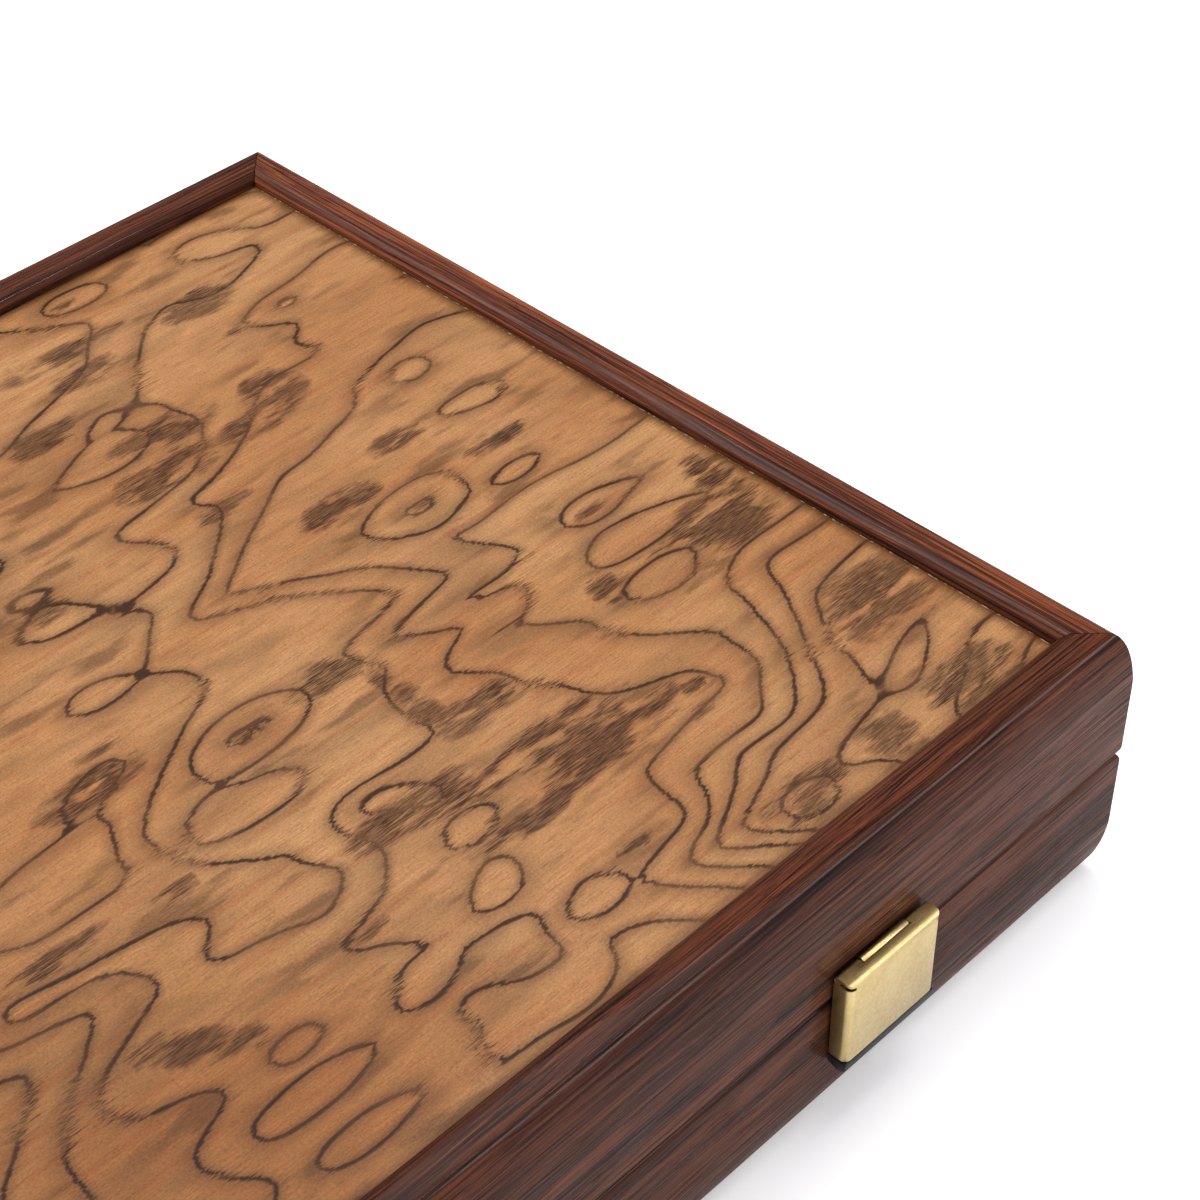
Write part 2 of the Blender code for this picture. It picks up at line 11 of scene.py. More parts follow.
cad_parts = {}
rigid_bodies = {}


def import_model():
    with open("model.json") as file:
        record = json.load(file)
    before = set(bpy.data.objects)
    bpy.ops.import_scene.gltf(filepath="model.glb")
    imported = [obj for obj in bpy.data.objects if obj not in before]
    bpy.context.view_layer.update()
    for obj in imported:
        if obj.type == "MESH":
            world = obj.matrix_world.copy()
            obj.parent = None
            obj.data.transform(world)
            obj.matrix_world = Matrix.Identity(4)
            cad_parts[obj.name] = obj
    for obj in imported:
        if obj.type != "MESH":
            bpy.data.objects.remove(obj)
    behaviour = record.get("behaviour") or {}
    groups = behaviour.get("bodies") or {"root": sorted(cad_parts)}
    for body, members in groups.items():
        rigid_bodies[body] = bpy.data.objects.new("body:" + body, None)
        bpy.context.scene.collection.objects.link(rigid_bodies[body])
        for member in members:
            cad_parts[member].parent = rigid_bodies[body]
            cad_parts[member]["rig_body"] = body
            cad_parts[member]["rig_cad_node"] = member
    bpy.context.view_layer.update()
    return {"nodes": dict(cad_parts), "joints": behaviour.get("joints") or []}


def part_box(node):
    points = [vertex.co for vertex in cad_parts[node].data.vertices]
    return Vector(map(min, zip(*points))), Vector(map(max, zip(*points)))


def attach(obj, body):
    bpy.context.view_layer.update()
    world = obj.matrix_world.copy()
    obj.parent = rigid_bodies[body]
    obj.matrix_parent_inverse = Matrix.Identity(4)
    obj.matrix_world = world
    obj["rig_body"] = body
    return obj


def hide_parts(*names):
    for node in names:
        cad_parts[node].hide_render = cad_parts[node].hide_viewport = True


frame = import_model()
print('frame loaded')

# Places that everything below is worked out from
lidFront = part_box('lid_front_rail')
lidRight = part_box('lid_right_rail')
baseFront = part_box('base_front_rail')
railWidth = lidFront[1].y - lidFront[0].y
railHeight = lidFront[1].z - lidFront[0].z
caseLength = lidFront[1].x - lidFront[0].x
caseDepth = lidRight[1].y - lidRight[0].y
caseY = (lidRight[1].y + lidRight[0].y) / 2
seamLevel = (lidFront[0].z + baseFront[1].z) / 2
seamGap = lidFront[0].z - baseFront[1].z
hingeAxis = Vector(frame['joints'][0]['pos_m'])
mm = 0.001


# Small helpers for modelling

def deselect():
    bpy.ops.object.select_all(action='DESELECT')


def applyPlace():
    bpy.ops.object.transform_apply(location=True, rotation=True, scale=True)


def named(name):
    # the primitive just added, under its name and with its place in its mesh
    piece = bpy.context.object
    piece.name = piece.data.name = name
    applyPlace()
    return piece


def startBox(name, low, high):
    deselect()
    bpy.ops.mesh.primitive_cube_add(size=1, location=(Vector(low) + Vector(high)) / 2)
    bpy.context.object.scale = Vector(high) - Vector(low)
    return named(name)


def startCylinder(name, radius, length, place=(0, 0, 0), turn=(0, 0, 0), sides=48):
    deselect()
    bpy.ops.mesh.primitive_cylinder_add(vertices=sides, radius=radius, depth=length, location=place,
                                        rotation=turn)
    return named(name)


def discard(*pieces):
    for piece in pieces:
        bpy.data.objects.remove(piece, do_unlink=True)


def makeActive(piece):
    deselect()
    piece.select_set(True)
    bpy.context.view_layer.objects.active = piece


def edit(piece):
    makeActive(piece)
    bpy.ops.object.mode_set(mode='EDIT')


def done():
    bpy.ops.object.mode_set(mode='OBJECT')


def selectAll():
    bpy.ops.mesh.select_all(action='SELECT')


def resize(x, y, z):
    # resizes what is selected, about the origin
    bpy.ops.transform.resize(value=(x, y, z), center_override=(0, 0, 0))


def middle(item):
    corners = [vertex.co for vertex in item.verts]
    return sum(corners, Vector()) / len(corners)


def pick(mode, test):
    # selects the edges or faces of the piece in edit mode that pass the test
    bpy.ops.mesh.select_mode(type=mode)
    bpy.ops.mesh.select_all(action='DESELECT')
    mesh = bpy.context.object.data
    work = bmesh.from_edit_mesh(mesh)
    for item in work.edges if mode == 'EDGE' else work.faces:
        if test(item):
            item.select_set(True)
    work.select_flush_mode()
    bmesh.update_edit_mesh(mesh)


def runsAlongX(edge):
    span = edge.verts[1].co - edge.verts[0].co
    return abs(span.x) > 0.99 * span.length


def modify(piece, kind, **settings):
    makeActive(piece)
    modifier = piece.modifiers.new(kind.lower(), kind)
    for label, value in settings.items():
        setattr(modifier, label, value)
    bpy.ops.object.modifier_apply(modifier=modifier.name)


def easeEdges(piece, width, segments, degrees):
    modify(piece, 'BEVEL', width=width, segments=segments, limit_method='ANGLE',
           angle_limit=math.radians(degrees))


def cutAway(piece, *cutters, operation='DIFFERENCE'):
    for cutter in cutters:
        modify(piece, 'BOOLEAN', operation=operation, solver='EXACT', object=cutter)
        discard(cutter)


def settle(piece, location=(0, 0, 0), rotation=(0, 0, 0)):
    # turns the piece about the origin, moves it, and leaves the place in its mesh
    makeActive(piece)
    piece.rotation_euler = rotation
    piece.location = location
    applyPlace()


def copyOf(piece, name):
    twin = piece.copy()
    twin.data = piece.data.copy()
    twin.name = twin.data.name = name
    bpy.context.collection.objects.link(twin)
    return twin


def smooth(piece, degrees=35):
    makeActive(piece)
    bpy.ops.object.shade_smooth_by_angle(angle=math.radians(degrees))


def paint(piece, material):
    piece.data.materials.clear()
    piece.data.materials.append(material)


def hand(piece, material, body, slot, *nodes):
    # finishes a new piece: its material, its body and the nodes that it stands for; its slot is not used
    paint(piece, material)
    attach(piece, body)
    if nodes:
        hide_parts(*nodes)


# Small helpers for materials

def colour(red, green, blue):
    # a colour as a screen shows it, 0 to 255, made linear
    return tuple(((c / 255 + 0.055) / 1.055) ** 2.4 for c in (red, green, blue)) + (1.0,)


def plug(tree, socket, value):
    if isinstance(value, bpy.types.NodeSocket):
        tree.links.new(value, socket)
    else:
        socket.default_value = value


def makeGroup(name, inputs, outputs):
    tree = bpy.data.node_groups.new(name, 'ShaderNodeTree')
    for label, kind, value in inputs:
        socket = tree.interface.new_socket(name=label, in_out='INPUT', socket_type='NodeSocket' + kind)
        if value is not None:
            socket.default_value = value
    for label, kind in outputs:
        tree.interface.new_socket(name=label, in_out='OUTPUT', socket_type='NodeSocket' + kind)
    return tree, tree.nodes.new('NodeGroupInput').outputs, tree.nodes.new('NodeGroupOutput').inputs


def useGroup(tree, group, **values):
    node = tree.nodes.new('ShaderNodeGroup')
    node.node_tree = group
    for label, value in values.items():
        plug(tree, node.inputs[label], value)
    return node.outputs


def calc(tree, operation, *values):
    node = tree.nodes.new('ShaderNodeMath')
    node.operation = operation
    for socket, value in zip(node.inputs, values):
        plug(tree, socket, value)
    return node.outputs[0]


def times(tree, first, second):
    return calc(tree, 'MULTIPLY', first, second)


def timesPlus(tree, first, second, third):
    return calc(tree, 'MULTIPLY_ADD', first, second, third)


def strongest(tree, first, *others):
    for other in others:
        first = calc(tree, 'MAXIMUM', first, other)
    return first


def vectorCalc(tree, operation, *values, socket='Vector'):
    node = tree.nodes.new('ShaderNodeVectorMath')
    node.operation = operation
    for entry, value in zip(node.inputs, values):
        plug(tree, entry, value)
    return node.outputs[socket]


def inMillimetres(tree, vector):
    return vectorCalc(tree, 'MULTIPLY', vector, (1 / mm, 1 / mm, 1 / mm))


def splitVector(tree, vector):
    node = tree.nodes.new('ShaderNodeSeparateXYZ')
    plug(tree, node.inputs[0], vector)
    return node.outputs


def joinVector(tree, x=0.0, y=0.0, z=0.0):
    node = tree.nodes.new('ShaderNodeCombineXYZ')
    for socket, value in zip(node.inputs, (x, y, z)):
        plug(tree, socket, value)
    return node.outputs[0]


def stretch(tree, vector, x, y, z):
    # a pattern's vector, counted in lengths of x, y and z millimetres
    return vectorCalc(tree, 'MULTIPLY', vector, (1 / x, 1 / y, 1 / z))


def remap(tree, value, fromLow, fromHigh, toLow=0.0, toHigh=1.0, ease='SMOOTHSTEP'):
    node = tree.nodes.new('ShaderNodeMapRange')
    node.interpolation_type = ease
    for label, item in (('Value', value), ('From Min', fromLow), ('From Max', fromHigh),
                        ('To Min', toLow), ('To Max', toHigh)):
        plug(tree, node.inputs[label], item)
    return node.outputs[0]


def noise(tree, vector, detail=2.0, roughness=0.5, signed=False, flat=False):
    node = tree.nodes.new('ShaderNodeTexNoise')
    node.noise_dimensions = '2D' if flat else '3D'
    node.normalize = not signed
    plug(tree, node.inputs['Vector'], vector)
    node.inputs['Scale'].default_value = 1
    node.inputs['Detail'].default_value = detail
    node.inputs['Roughness'].default_value = roughness
    return node.outputs[0]


def blendColours(tree, share, first, second, how='MIX'):
    node = tree.nodes.new('ShaderNodeMix')
    node.data_type = 'RGBA'
    node.blend_type = how
    for socket, value in zip((node.inputs[0], node.inputs[6], node.inputs[7]), (share, first, second)):
        plug(tree, socket, value)
    return node.outputs[2]


def scaleColour(tree, shade, factor):
    node = tree.nodes.new('ShaderNodeVectorMath')
    node.operation = 'SCALE'
    plug(tree, node.inputs[0], shade[:3] if isinstance(shade, tuple) else shade)
    plug(tree, node.inputs['Scale'], factor)
    return node.outputs[0]


def newMaterial(name, **settings):
    material = bpy.data.materials.new(name)
    material.use_nodes = True
    tree = material.node_tree
    shader = tree.nodes['Principled BSDF']
    for label, value in settings.items():
        shader.inputs[label.replace('_', ' ')].default_value = value
    place = tree.nodes.new('ShaderNodeTexCoord').outputs['Object']
    return material, tree, shader.inputs, place


def addBump(tree, sockets, height, distance, strength=1.0):
    bump = tree.nodes.new('ShaderNodeBump')
    bump.inputs['Strength'].default_value = strength
    bump.inputs['Distance'].default_value = distance
    plug(tree, bump.inputs['Height'], height)
    plug(tree, sockets['Normal'], bump.outputs[0])


def turned(tree, vector, turn):
    # the vector turned about Z, for grain that runs another way
    node = tree.nodes.new('ShaderNodeMapping')
    node.inputs['Rotation'].default_value = (0, 0, turn)
    plug(tree, node.inputs[0], vector)
    return node.outputs[0]


# Shared effects

def makeStreaks():
    # straight wood grain along X of the given vector, which is in metres
    tree, given, out = makeGroup(
        'woodStreaks',
        [('Vector', 'Vector', None), ('Length', 'Float', 30.0), ('Width', 'Float', 1.0),
         ('Wander', 'Float', 0.5)],
        [('Band', 'Float'), ('Streak', 'Float'), ('Line', 'Float'), ('Pore', 'Float')])
    millimetres = inMillimetres(tree, given['Vector'])
    drift = noise(tree, stretch(tree, millimetres, 46, 9, 9), 1, 0.5, signed=True)
    drift = times(tree, drift, given['Wander'])
    waved = vectorCalc(tree, 'ADD', millimetres, joinVector(tree, 0.0, drift, drift))
    size = joinVector(tree, given['Length'], given['Width'], given['Width'])
    fine = vectorCalc(tree, 'DIVIDE', waved, size)

    def grain(scale, detail, roughness, signed=False):
        return noise(tree, vectorCalc(tree, 'MULTIPLY', fine, scale), detail, roughness, signed)

    plug(tree, out['Band'], grain((0.45, 0.24, 0.24), 2, 0.55))
    plug(tree, out['Streak'], grain((1.1, 1.7, 1.7), 3, 0.65))
    # thin lines stand where a noise passes through zero, and fade in and out along their length
    mask = grain((1.6, 0.5, 0.5), 1, 0.5)
    lines = []
    for scale, width, strength in (((0.6, 0.9, 0.9), 0.075, 1.0), ((1.3, 2.3, 2.3), 0.11, 0.6)):
        crossing = calc(tree, 'ABSOLUTE', grain(scale, 1, 0.4, signed=True))
        lines.append(times(tree, remap(tree, crossing, width, width * 0.2),
                           remap(tree, mask, 0.38, 0.6, 0.15, strength)))
    plug(tree, out['Line'], strongest(tree, *lines))
    plug(tree, out['Pore'], remap(tree, grain((7, 4.5, 4.5), 1, 0.5), 0.58, 0.68))
    return tree


def makeSmudges():
    # faint unevenness of a lacquered or handled surface
    tree, given, out = makeGroup('smudges', [('Vector', 'Vector', None), ('Size', 'Float', 22.0)],
                                 [('Amount', 'Float')])
    size = joinVector(tree, given['Size'], given['Size'], given['Size'])
    spots = vectorCalc(tree, 'DIVIDE', inMillimetres(tree, given['Vector']), size)
    plug(tree, out['Amount'], noise(tree, spots, 4, 0.6))
    return tree


streaks = makeStreaks()
smudges = makeSmudges()


def unevenGloss(tree, sockets, place, size, smoothest, roughest):
    # smudges of that many millimetres change the gloss; their amount is given back for other uses
    uneven = useGroup(tree, smudges, Vector=place, Size=size)['Amount']
    plug(tree, sockets['Roughness'], remap(tree, uneven, 0.3, 0.7, smoothest, roughest))
    return uneven


# Burl veneer

burlLook = {
    'tan': colour(153, 112, 73),
    'amber': colour(145, 101, 62),
    'rust': colour(132, 79, 45), 'rustInRings': 0.22, 'rustInFlows': 0.4,
    'ash': colour(110, 80, 51), 'ashShare': 0.45,
    'line': colour(50, 25, 9), 'lineShare': (0.8, 1.0), 'raggedness': (0.35, 1.8),
    'haloReach': (7.0, 2.2), 'haloShare': (0.42, 0.34),  # before a line and past it
    'fringeReach': (5.0, 2.4), 'fringeShare': 0.62,
    'smearShare': 0.9, 'wispShare': 0.6,
    'fineGrain': 0.24, 'grain': 0.14, 'speckle': 0.22,
    # painted shadow: the panel darkens at the foot of the rails
    'railShadow': colour(84, 50, 22), 'railShadowDepth': 0.75, 'railShadowWidth': 3.2,
    # painted shade: a broad darker patch towards the front of the sheet
    'paintedShadePlace': (28, -85, 0), 'paintedShadeSize': (85, 72), 'paintedShade': (0.72, 0.62, 0.5, 1),
    'glue': colour(196, 182, 162), 'glueShare': 0.7,
    'panelEnds': ((caseLength / 2 - railWidth) / mm, (caseDepth / 2 - railWidth) / mm, 0),
    'roughness': (0.38, 0.47), 'sheen': 0.16,
    'cell': 1.8 * mm,
}

# The figure's main growth rings, eyes and smears, drawn in millimetres of the case's frame.
# A ring is its level and its turning points; an eye is a level, a centre and half its two lengths.
# The wood is a landscape of these levels. A line is seen where it passes a whole number, so the short
# rings of a level between two whole numbers are hollows that keep the eyes beside them apart.
burlDrawing = {
    'rings': (
        (1, ((229, 104), (205, 102), (188, 96), (177, 87), (164, 72), (150, 73), (164, 68), (165, 57),
             (154, 43), (133, 38), (119, 36), (134, 33), (132, 23), (114, 18), (121, 14), (113, 7),
             (108, 0), (119, -10), (104, -14), (87, -26), (82, -31), (86, -41), (99, -50), (91, -51),
             (101, -60), (92, -67), (74, -57), (73, -50), (56, -46), (43, -44))),
        (2, ((229, 80), (200, 79), (181, 74), (199, 68), (193, 64), (202, 59), (184, 56), (168, 43),
             (146, 36), (154, 31), (135, 15), (121, 8), (141, 0), (157, -15), (136, -19), (142, -28),
             (137, -33), (137, -46), (107, -50), (109, -62), (103, -69), (81, -74), (104, -82),
             (118, -91), (117, -96), (136, -112))),
        (3, ((229, 43), (218, 47), (194, 41), (188, 34), (163, 29), (146, 17), (132, 9), (157, -5),
             (168, -18), (143, -22), (160, -30), (147, -37), (160, -51), (158, -60), (179, -68),
             (181, -76), (153, -81), (151, -93), (132, -98), (146, -112))),
        (4, ((229, -11), (171, -10), (182, -22), (160, -25), (170, -32), (152, -36), (174, -46),
             (174, -51), (189, -66), (188, -76), (178, -86), (159, -87), (153, -97), (142, -101),
             (152, -112))),
        (5, ((229, -50), (208, -51), (197, -67), (193, -79), (182, -91), (168, -90), (148, -102),
             (160, -112))),
        (6, ((229, -60), (211, -59), (200, -76), (189, -92), (171, -94), (154, -103), (164, -112))),
        (7, ((229, -67), (208, -71), (196, -93), (204, -95), (217, -86), (229, -89))),
        (7, ((229, -94), (220, -93), (205, -101), (190, -104), (187, -112))),
        (8, ((229, -99), (222, -99), (205, -109))),
        (1, ((42, -49), (67, -50), (68, -59), (42, -67), (43, -73), (58, -82), (45, -88), (60, -112))),
        (0, ((38, -50), (54, -54), (37, -70), (32, -77))),
        (0, ((58, -23), (83, -20), (76, -34), (54, -37))),
        (0, ((155, 109), (170, 100), (161, 87), (130, 75))),
        (1, ((102, 37), (122, 28), (88, 19))),
        (1, ((108, 46), (126, 57), (119, 62))),
        (2, ((70, -111), (117, -105), (104, -112))),
        (1.5, ((54, -98), (84, -97))),
        (1.6, ((62, -79), (82, -79))),
        (1.5, ((60, -87), (86, -86))),
        (1.5, ((54, -109), (84, -109))),
        (4.5, ((184, -41), (212, -40))),
        (3.7, ((188, -8), (208, -8))),
        (3.7, ((190, 2), (208, 1))),
    ),
    'eyes': (
        (2, 112, -23, 13, 6), (3, 112, -23, 6, 3), (2, 106, -37, 19, 4), (3, 116, -51, 5, 2),
        (3, 123, -68, 6, 3), (3, 114, -84, 6, 2), (3, 125, -96, 6, 3), (2, 71, -83, 5, 2),
        (2, 69, -92, 13, 3), (2, 93, -89, 9, 4), (2, 97, -97, 9, 3), (2, 68, -104, 13, 3),
        (1, 97, 4, 6, 2), (1, 143, 58, 6, 2), (1, 171, 108, 8, 3), (7, 168, -106, 7, 5),
        (5, 200, -23, 10, 4), (3, 203, 74, 4, 2), (4, 205, 38, 4, 2), (4, 211, 19, 9, 3),
        (4, 176, 3, 13, 6), (5, 176, 2, 4, 2), (4, 197, -3, 8, 2), (5, 203, -35, 15, 3),
        (5, 195, -47, 12, 4),
    ),
    'smears': (  # centre, half the two lengths, and how it leans if it does
        (142, -62, 17, 3), (155, -70, 12, 4), (144, -48, 7, 3), (131, -75, 10, 2), (118, -58, 10, 3),
        (214, -44, 9, 6), (224, -32, 4, 5), (217, -80, 9, 8), (190, -105, 4, 6), (212, -107, 8, 5),
        (168, -105, 7, 4), (130, -22, 6, 3), (137, -38, 2, 8), (60, -72, 7, 3, -0.6), (54, -41, 8, 2),
        (83, -14, 8, 3), (156, 57, 9, 4), (148, 46, 9, 4), (181, 52, 5, 5), (172, 46, 7, 3),
        (149, 29, 5, 2), (190, 88, 7, 4), (156, 94, 12, 2), (157, 85, 6, 3), (137, 73, 7, 3),
        (187, 21, 5, 2), (165, 13, 7, 3), (202, 7, 6, 2), (198, -23, 3, 1), (175, -72, 2, 1),
        (172, -77, 2, 1), (139, -92, 3, 1), (95, -74, 3, 1), (112, -23, 3, 1), (91, -7, 4, 1),
        (78, -44, 4, 1), (106, 29, 4, 2), (189, 74, 2, 1), (169, 108, 2, 1), (176, 2, 3, 1),
        (201, -41, 9, 1), (184, -42, 3, 3),
    ),
    'smearSpread': (1.7, 1.6),                         # how far a smear thins out past its lengths
    'knotStep': 4, 'across': 1.5, 'stiffness': 0.002,  # how the landscape is fitted to the rings
    'eyeRise': 0.4,                                    # how far the middle of an eye stands above its ring
    'drawnReach': (42, 18),                            # beyond this from a ring the landscape is free
    'slopeReach': 0.6,
    'freeEyes': 34, 'freeSmears': 44, 'seed': 11,
    'freeX': (-232, 90), 'freeY': (-114, 114), 'freeLength': (5, 17), 'freeWidth': (2, 6),
}


def pointsAlong(points, step):
    for first, second in zip(points, points[1:]):
        count = max(round(math.dist(first, second) / step), 1)
        for number in range(count):
            yield tuple(a + (b - a) * number / count for a, b in zip(first, second))
    yield points[-1]


def ringKnots():
    # points of the drawn rings and eyes, each with its level
    step = burlDrawing['knotStep']
    knots = [(x, y, level) for level, points in burlDrawing['rings']
             for x, y in pointsAlong(points, step)]
    for level, x, y, halfLength, halfWidth in burlDrawing['eyes']:
        knots.append((x, y, level + burlDrawing['eyeRise']))
        count = max(round(math.pi * (halfLength + halfWidth) / step), 8)
        for number in range(count):
            turn = 2 * math.pi * number / count
            knots.append((x + halfLength * math.cos(turn), y + halfWidth * math.sin(turn), level))
    return np.array(knots, float)


def plateBend(points, knots):
    # a thin plate's bend at the points for a unit lift at each knot, and the distance to the next knot
    apart = ((points[:, None, 0] - knots[None, :, 0]) ** 2
             + (burlDrawing['across'] * (points[:, None, 1] - knots[None, :, 1])) ** 2)
    return apart * np.log(apart + 1e-9) / 2e4, np.sqrt(apart.min(axis=1))


def fitPlate():
    knots = ringKnots()
    count = len(knots)
    tilt = np.column_stack((np.ones(count), knots[:, :2] / 100))
    bend = plateBend(knots, knots)[0] + burlDrawing['stiffness'] * np.eye(count)
    whole = np.block([[bend, tilt], [tilt.T, np.zeros((3, 3))]])
    return knots, np.linalg.solve(whole, np.concatenate((knots[:, 2], np.zeros(3))))


def freeSpots(count, chance):
    # eyes or smears of the part that no ring was drawn for: centre and half the two lengths
    for _ in range(count):
        yield [chance.uniform(*burlDrawing[label]) for label in ('freeX', 'freeY', 'freeLength', 'freeWidth')]


def spotShare(points, x, y, halfLength, halfWidth, lean=0):
    # 1 in the middle of an ellipse, 0 at its edge
    across = points[:, 1] - y - lean * (points[:, 0] - x)
    return np.clip(1 - ((points[:, 0] - x) / halfLength) ** 2 - (across / halfWidth) ** 2, 0, 1)


def waves(points, length, width, layer):
    return np.array([perlin.noise((x / length, y / width, layer)) for x, y in points])


def burlLandscape(points, knots, weights):
    # the level at each point, whose whole numbers are the rings, and how far it is drawn
    drawn, nearest = [], []
    for part in np.array_split(points, 20):
        bend, distance = plateBend(part, knots)
        drawn.append(bend @ weights[:-3] + np.column_stack((np.ones(len(part)), part / 100)) @ weights[-3:])
        nearest.append(distance)
    far, near = burlDrawing['drawnReach']
    share = np.clip((far - np.concatenate(nearest)) / (far - near), 0, 1)
    ripple = waves(points, 26, 11, 7)
    free = ((points[:, 0] - 60) / 52 + 0.7 + 2.4 * waves(points, 55, 21, 3) + 0.8 * waves(points, 34, 9, 5)
            + 1.4 * waves(points, 30, 17, 9) + 0.3 * ripple)
    chance = random.Random(burlDrawing['seed'])
    for x, y, halfLength, halfWidth in freeSpots(burlDrawing['freeEyes'], chance):
        free += chance.uniform(0.6, 2.0) * spotShare(points, x, y, halfLength * 1.3, halfWidth * 1.6) ** 2
    level = share * (np.concatenate(drawn) + 0.3 * ripple) + (1 - share) * free
    return level, share


def smearShares(points, share):
    chance = random.Random(burlDrawing['seed'] + 1)
    amount = np.zeros(len(points))
    longer, wider = burlDrawing['smearSpread']
    for x, y, halfLength, halfWidth, *lean in burlDrawing['smears']:
        amount = np.maximum(amount, spotShare(points, x, y, halfLength * longer, halfWidth * wider, *lean))
    for spot in freeSpots(burlDrawing['freeSmears'], chance):
        amount = np.maximum(amount, (1 - share) * spotShare(points, *spot))
    return amount


def drawFigure(panel):
    # leaves the level, its slope and the smears on the panel's points, for the material to read
    mesh = panel.data
    flat = np.empty(len(mesh.vertices) * 3)
    mesh.vertices.foreach_get('co', flat)
    points = flat.reshape(-1, 3)[:, :2] / mm
    knots, weights = fitPlate()
    level, share = burlLandscape(points, knots, weights)
    reach = burlDrawing['slopeReach']
    along, across = ((burlLandscape(points + side, knots, weights)[0] - level) / reach
                     for side in ((reach, 0), (0, reach)))
    for label, values in (('ringLevel', level), ('slopeAlong', along), ('slopeAcross', across),
                          ('smear', smearShares(points, share))):
        mesh.attributes.new(label, 'FLOAT', 'POINT').data.foreach_set('value', values)


def makeBurlFigure():
    tree, given, out = makeGroup(
        'burlFigure',
        [('Vector', 'Vector', None), ('Level', 'Float', 0.0), ('Along', 'Float', 0.0),
         ('Across', 'Float', 0.0), ('Smear', 'Float', 0.0)],
        [('Color', 'Color'), ('Fibre', 'Float')])
    look, vector = burlLook, inMillimetres(tree, given['Vector'])

    def pattern(length, width, detail=2, roughness=0.5, signed=False):
        return noise(tree, stretch(tree, vector, length, width, 1), detail, roughness, signed, flat=True)

    fibre = pattern(8, 0.36, 2, 0.6, signed=True)
    fineFibre = pattern(4, 0.19, 1, signed=True)
    coarse = pattern(14, 1.0, 1, signed=True)
    hairs = timesPlus(tree, fineFibre, 1.1, fibre)
    thin = timesPlus(tree, fibre, 0.4, fineFibre)
    # fibres shift the rings to and fro, so a line across them is ragged
    raggedness = remap(tree, pattern(26, 11, 1.5), 0.5, 0.72, *look['raggedness'])
    shift = times(tree, timesPlus(tree, coarse, 0.6, hairs), raggedness)
    level = timesPlus(tree, shift, given['Along'], given['Level'])
    # the slope of the landscape gives every line the same width
    slope = vectorCalc(tree, 'LENGTH', joinVector(tree, given['Along'], given['Across']), socket='Value')
    slope = calc(tree, 'MAXIMUM', slope, 0.02)
    phase = calc(tree, 'FRACT', level)
    ahead = calc(tree, 'DIVIDE', calc(tree, 'SUBTRACT', 1, phase), slope)
    behind = calc(tree, 'DIVIDE', phase, slope)
    line = strongest(tree, remap(tree, ahead, 1.1, 0.25), remap(tree, behind, 0.5, 0.05))
    line = times(tree, line, remap(tree, pattern(30, 14), 0.35, 0.6, *look['lineShare']))
    # the wood darkens beside a line, and a fringe of dark hairs there thins out away from it
    halo = calc(tree, 'POWER', remap(tree, ahead, look['haloReach'][0], 0.0, ease='LINEAR'), 2.5)
    halo = strongest(tree, times(tree, halo, look['haloShare'][0]),
                     remap(tree, behind, look['haloReach'][1], 0.1, 0, look['haloShare'][1]))
    for distance, reach in zip((ahead, behind), look['fringeReach']):
        away = remap(tree, distance, 0.0, reach, ease='LINEAR')
        fringe = remap(tree, timesPlus(tree, away, -0.7, thin), -0.3, 0.2)
        halo = strongest(tree, halo, times(tree, fringe, remap(
            tree, away, 0.0, 1.0, look['fringeShare'], 0.0, ease='LINEAR')))
    # a smear is hairy, because the fibres carry it to and fro, and it is darkest towards the next ring
    patch = pattern(13, 3.6, 2, 0.6, signed=True)
    wild = timesPlus(tree, coarse, 0.12, times(tree, thin, 0.7))
    wild = timesPlus(tree, patch, 0.45, wild)
    spread = times(tree, given['Smear'], timesPlus(tree, patch, 0.9, 1.0))
    combed = timesPlus(tree, wild, remap(tree, given['Smear'], 0.0, 0.3), spread)
    smear = times(tree, remap(tree, combed, 0.0, 0.75), remap(tree, thin, -0.35, 0.25, 0.3, 0.8))
    smear = calc(tree, 'ADD', smear, remap(tree, spread, 0.0, 0.9, 0, 0.32))
    smear = times(tree, smear, remap(tree, phase, 0.1, 0.8, 0.85, 1.0))
    # faint wisps stand everywhere, more of them towards the next ring
    wisp = remap(tree, timesPlus(tree, thin, 0.12, pattern(22, 5)), 0.53, 0.70)
    wisp = times(tree, wisp, remap(tree, phase, 0.3, 0.95, 0.25, 1.0))
    dark = strongest(tree, line, times(tree, smear, look['smearShare']),
                     times(tree, wisp, look['wispShare']), halo)
    # ground colour, with a tone of its own in each ring
    shade = blendColours(tree, remap(tree, pattern(70, 38), 0.38, 0.62), look['tan'], look['amber'])
    ring = tree.nodes.new('ShaderNodeTexWhiteNoise')
    ring.noise_dimensions = '1D'
    plug(tree, ring.inputs['W'], calc(tree, 'FLOOR', level))
    rusty = times(tree, ring.outputs['Value'], look['rustInRings'])
    shade = blendColours(tree, rusty, shade, look['rust'])
    cloud = timesPlus(tree, hairs, 0.05, pattern(30, 10))
    shade = blendColours(tree, remap(tree, cloud, 0.5, 0.75, 0, look['ashShare']), shade, look['ash'])
    flow = remap(tree, pattern(60, 2.6, 2, 0.6), 0.5, 0.72, 0, look['rustInFlows'])
    shade = blendColours(tree, flow, shade, look['rust'])
    grain = timesPlus(tree, fibre, look['grain'], 1.02)
    grain = timesPlus(tree, fineFibre, look['fineGrain'], grain)
    grain = timesPlus(tree, pattern(0.6, 0.32, 2, 0.7, signed=True), look['speckle'], grain)
    shade = scaleColour(tree, blendColours(tree, dark, shade, look['line']), grain)
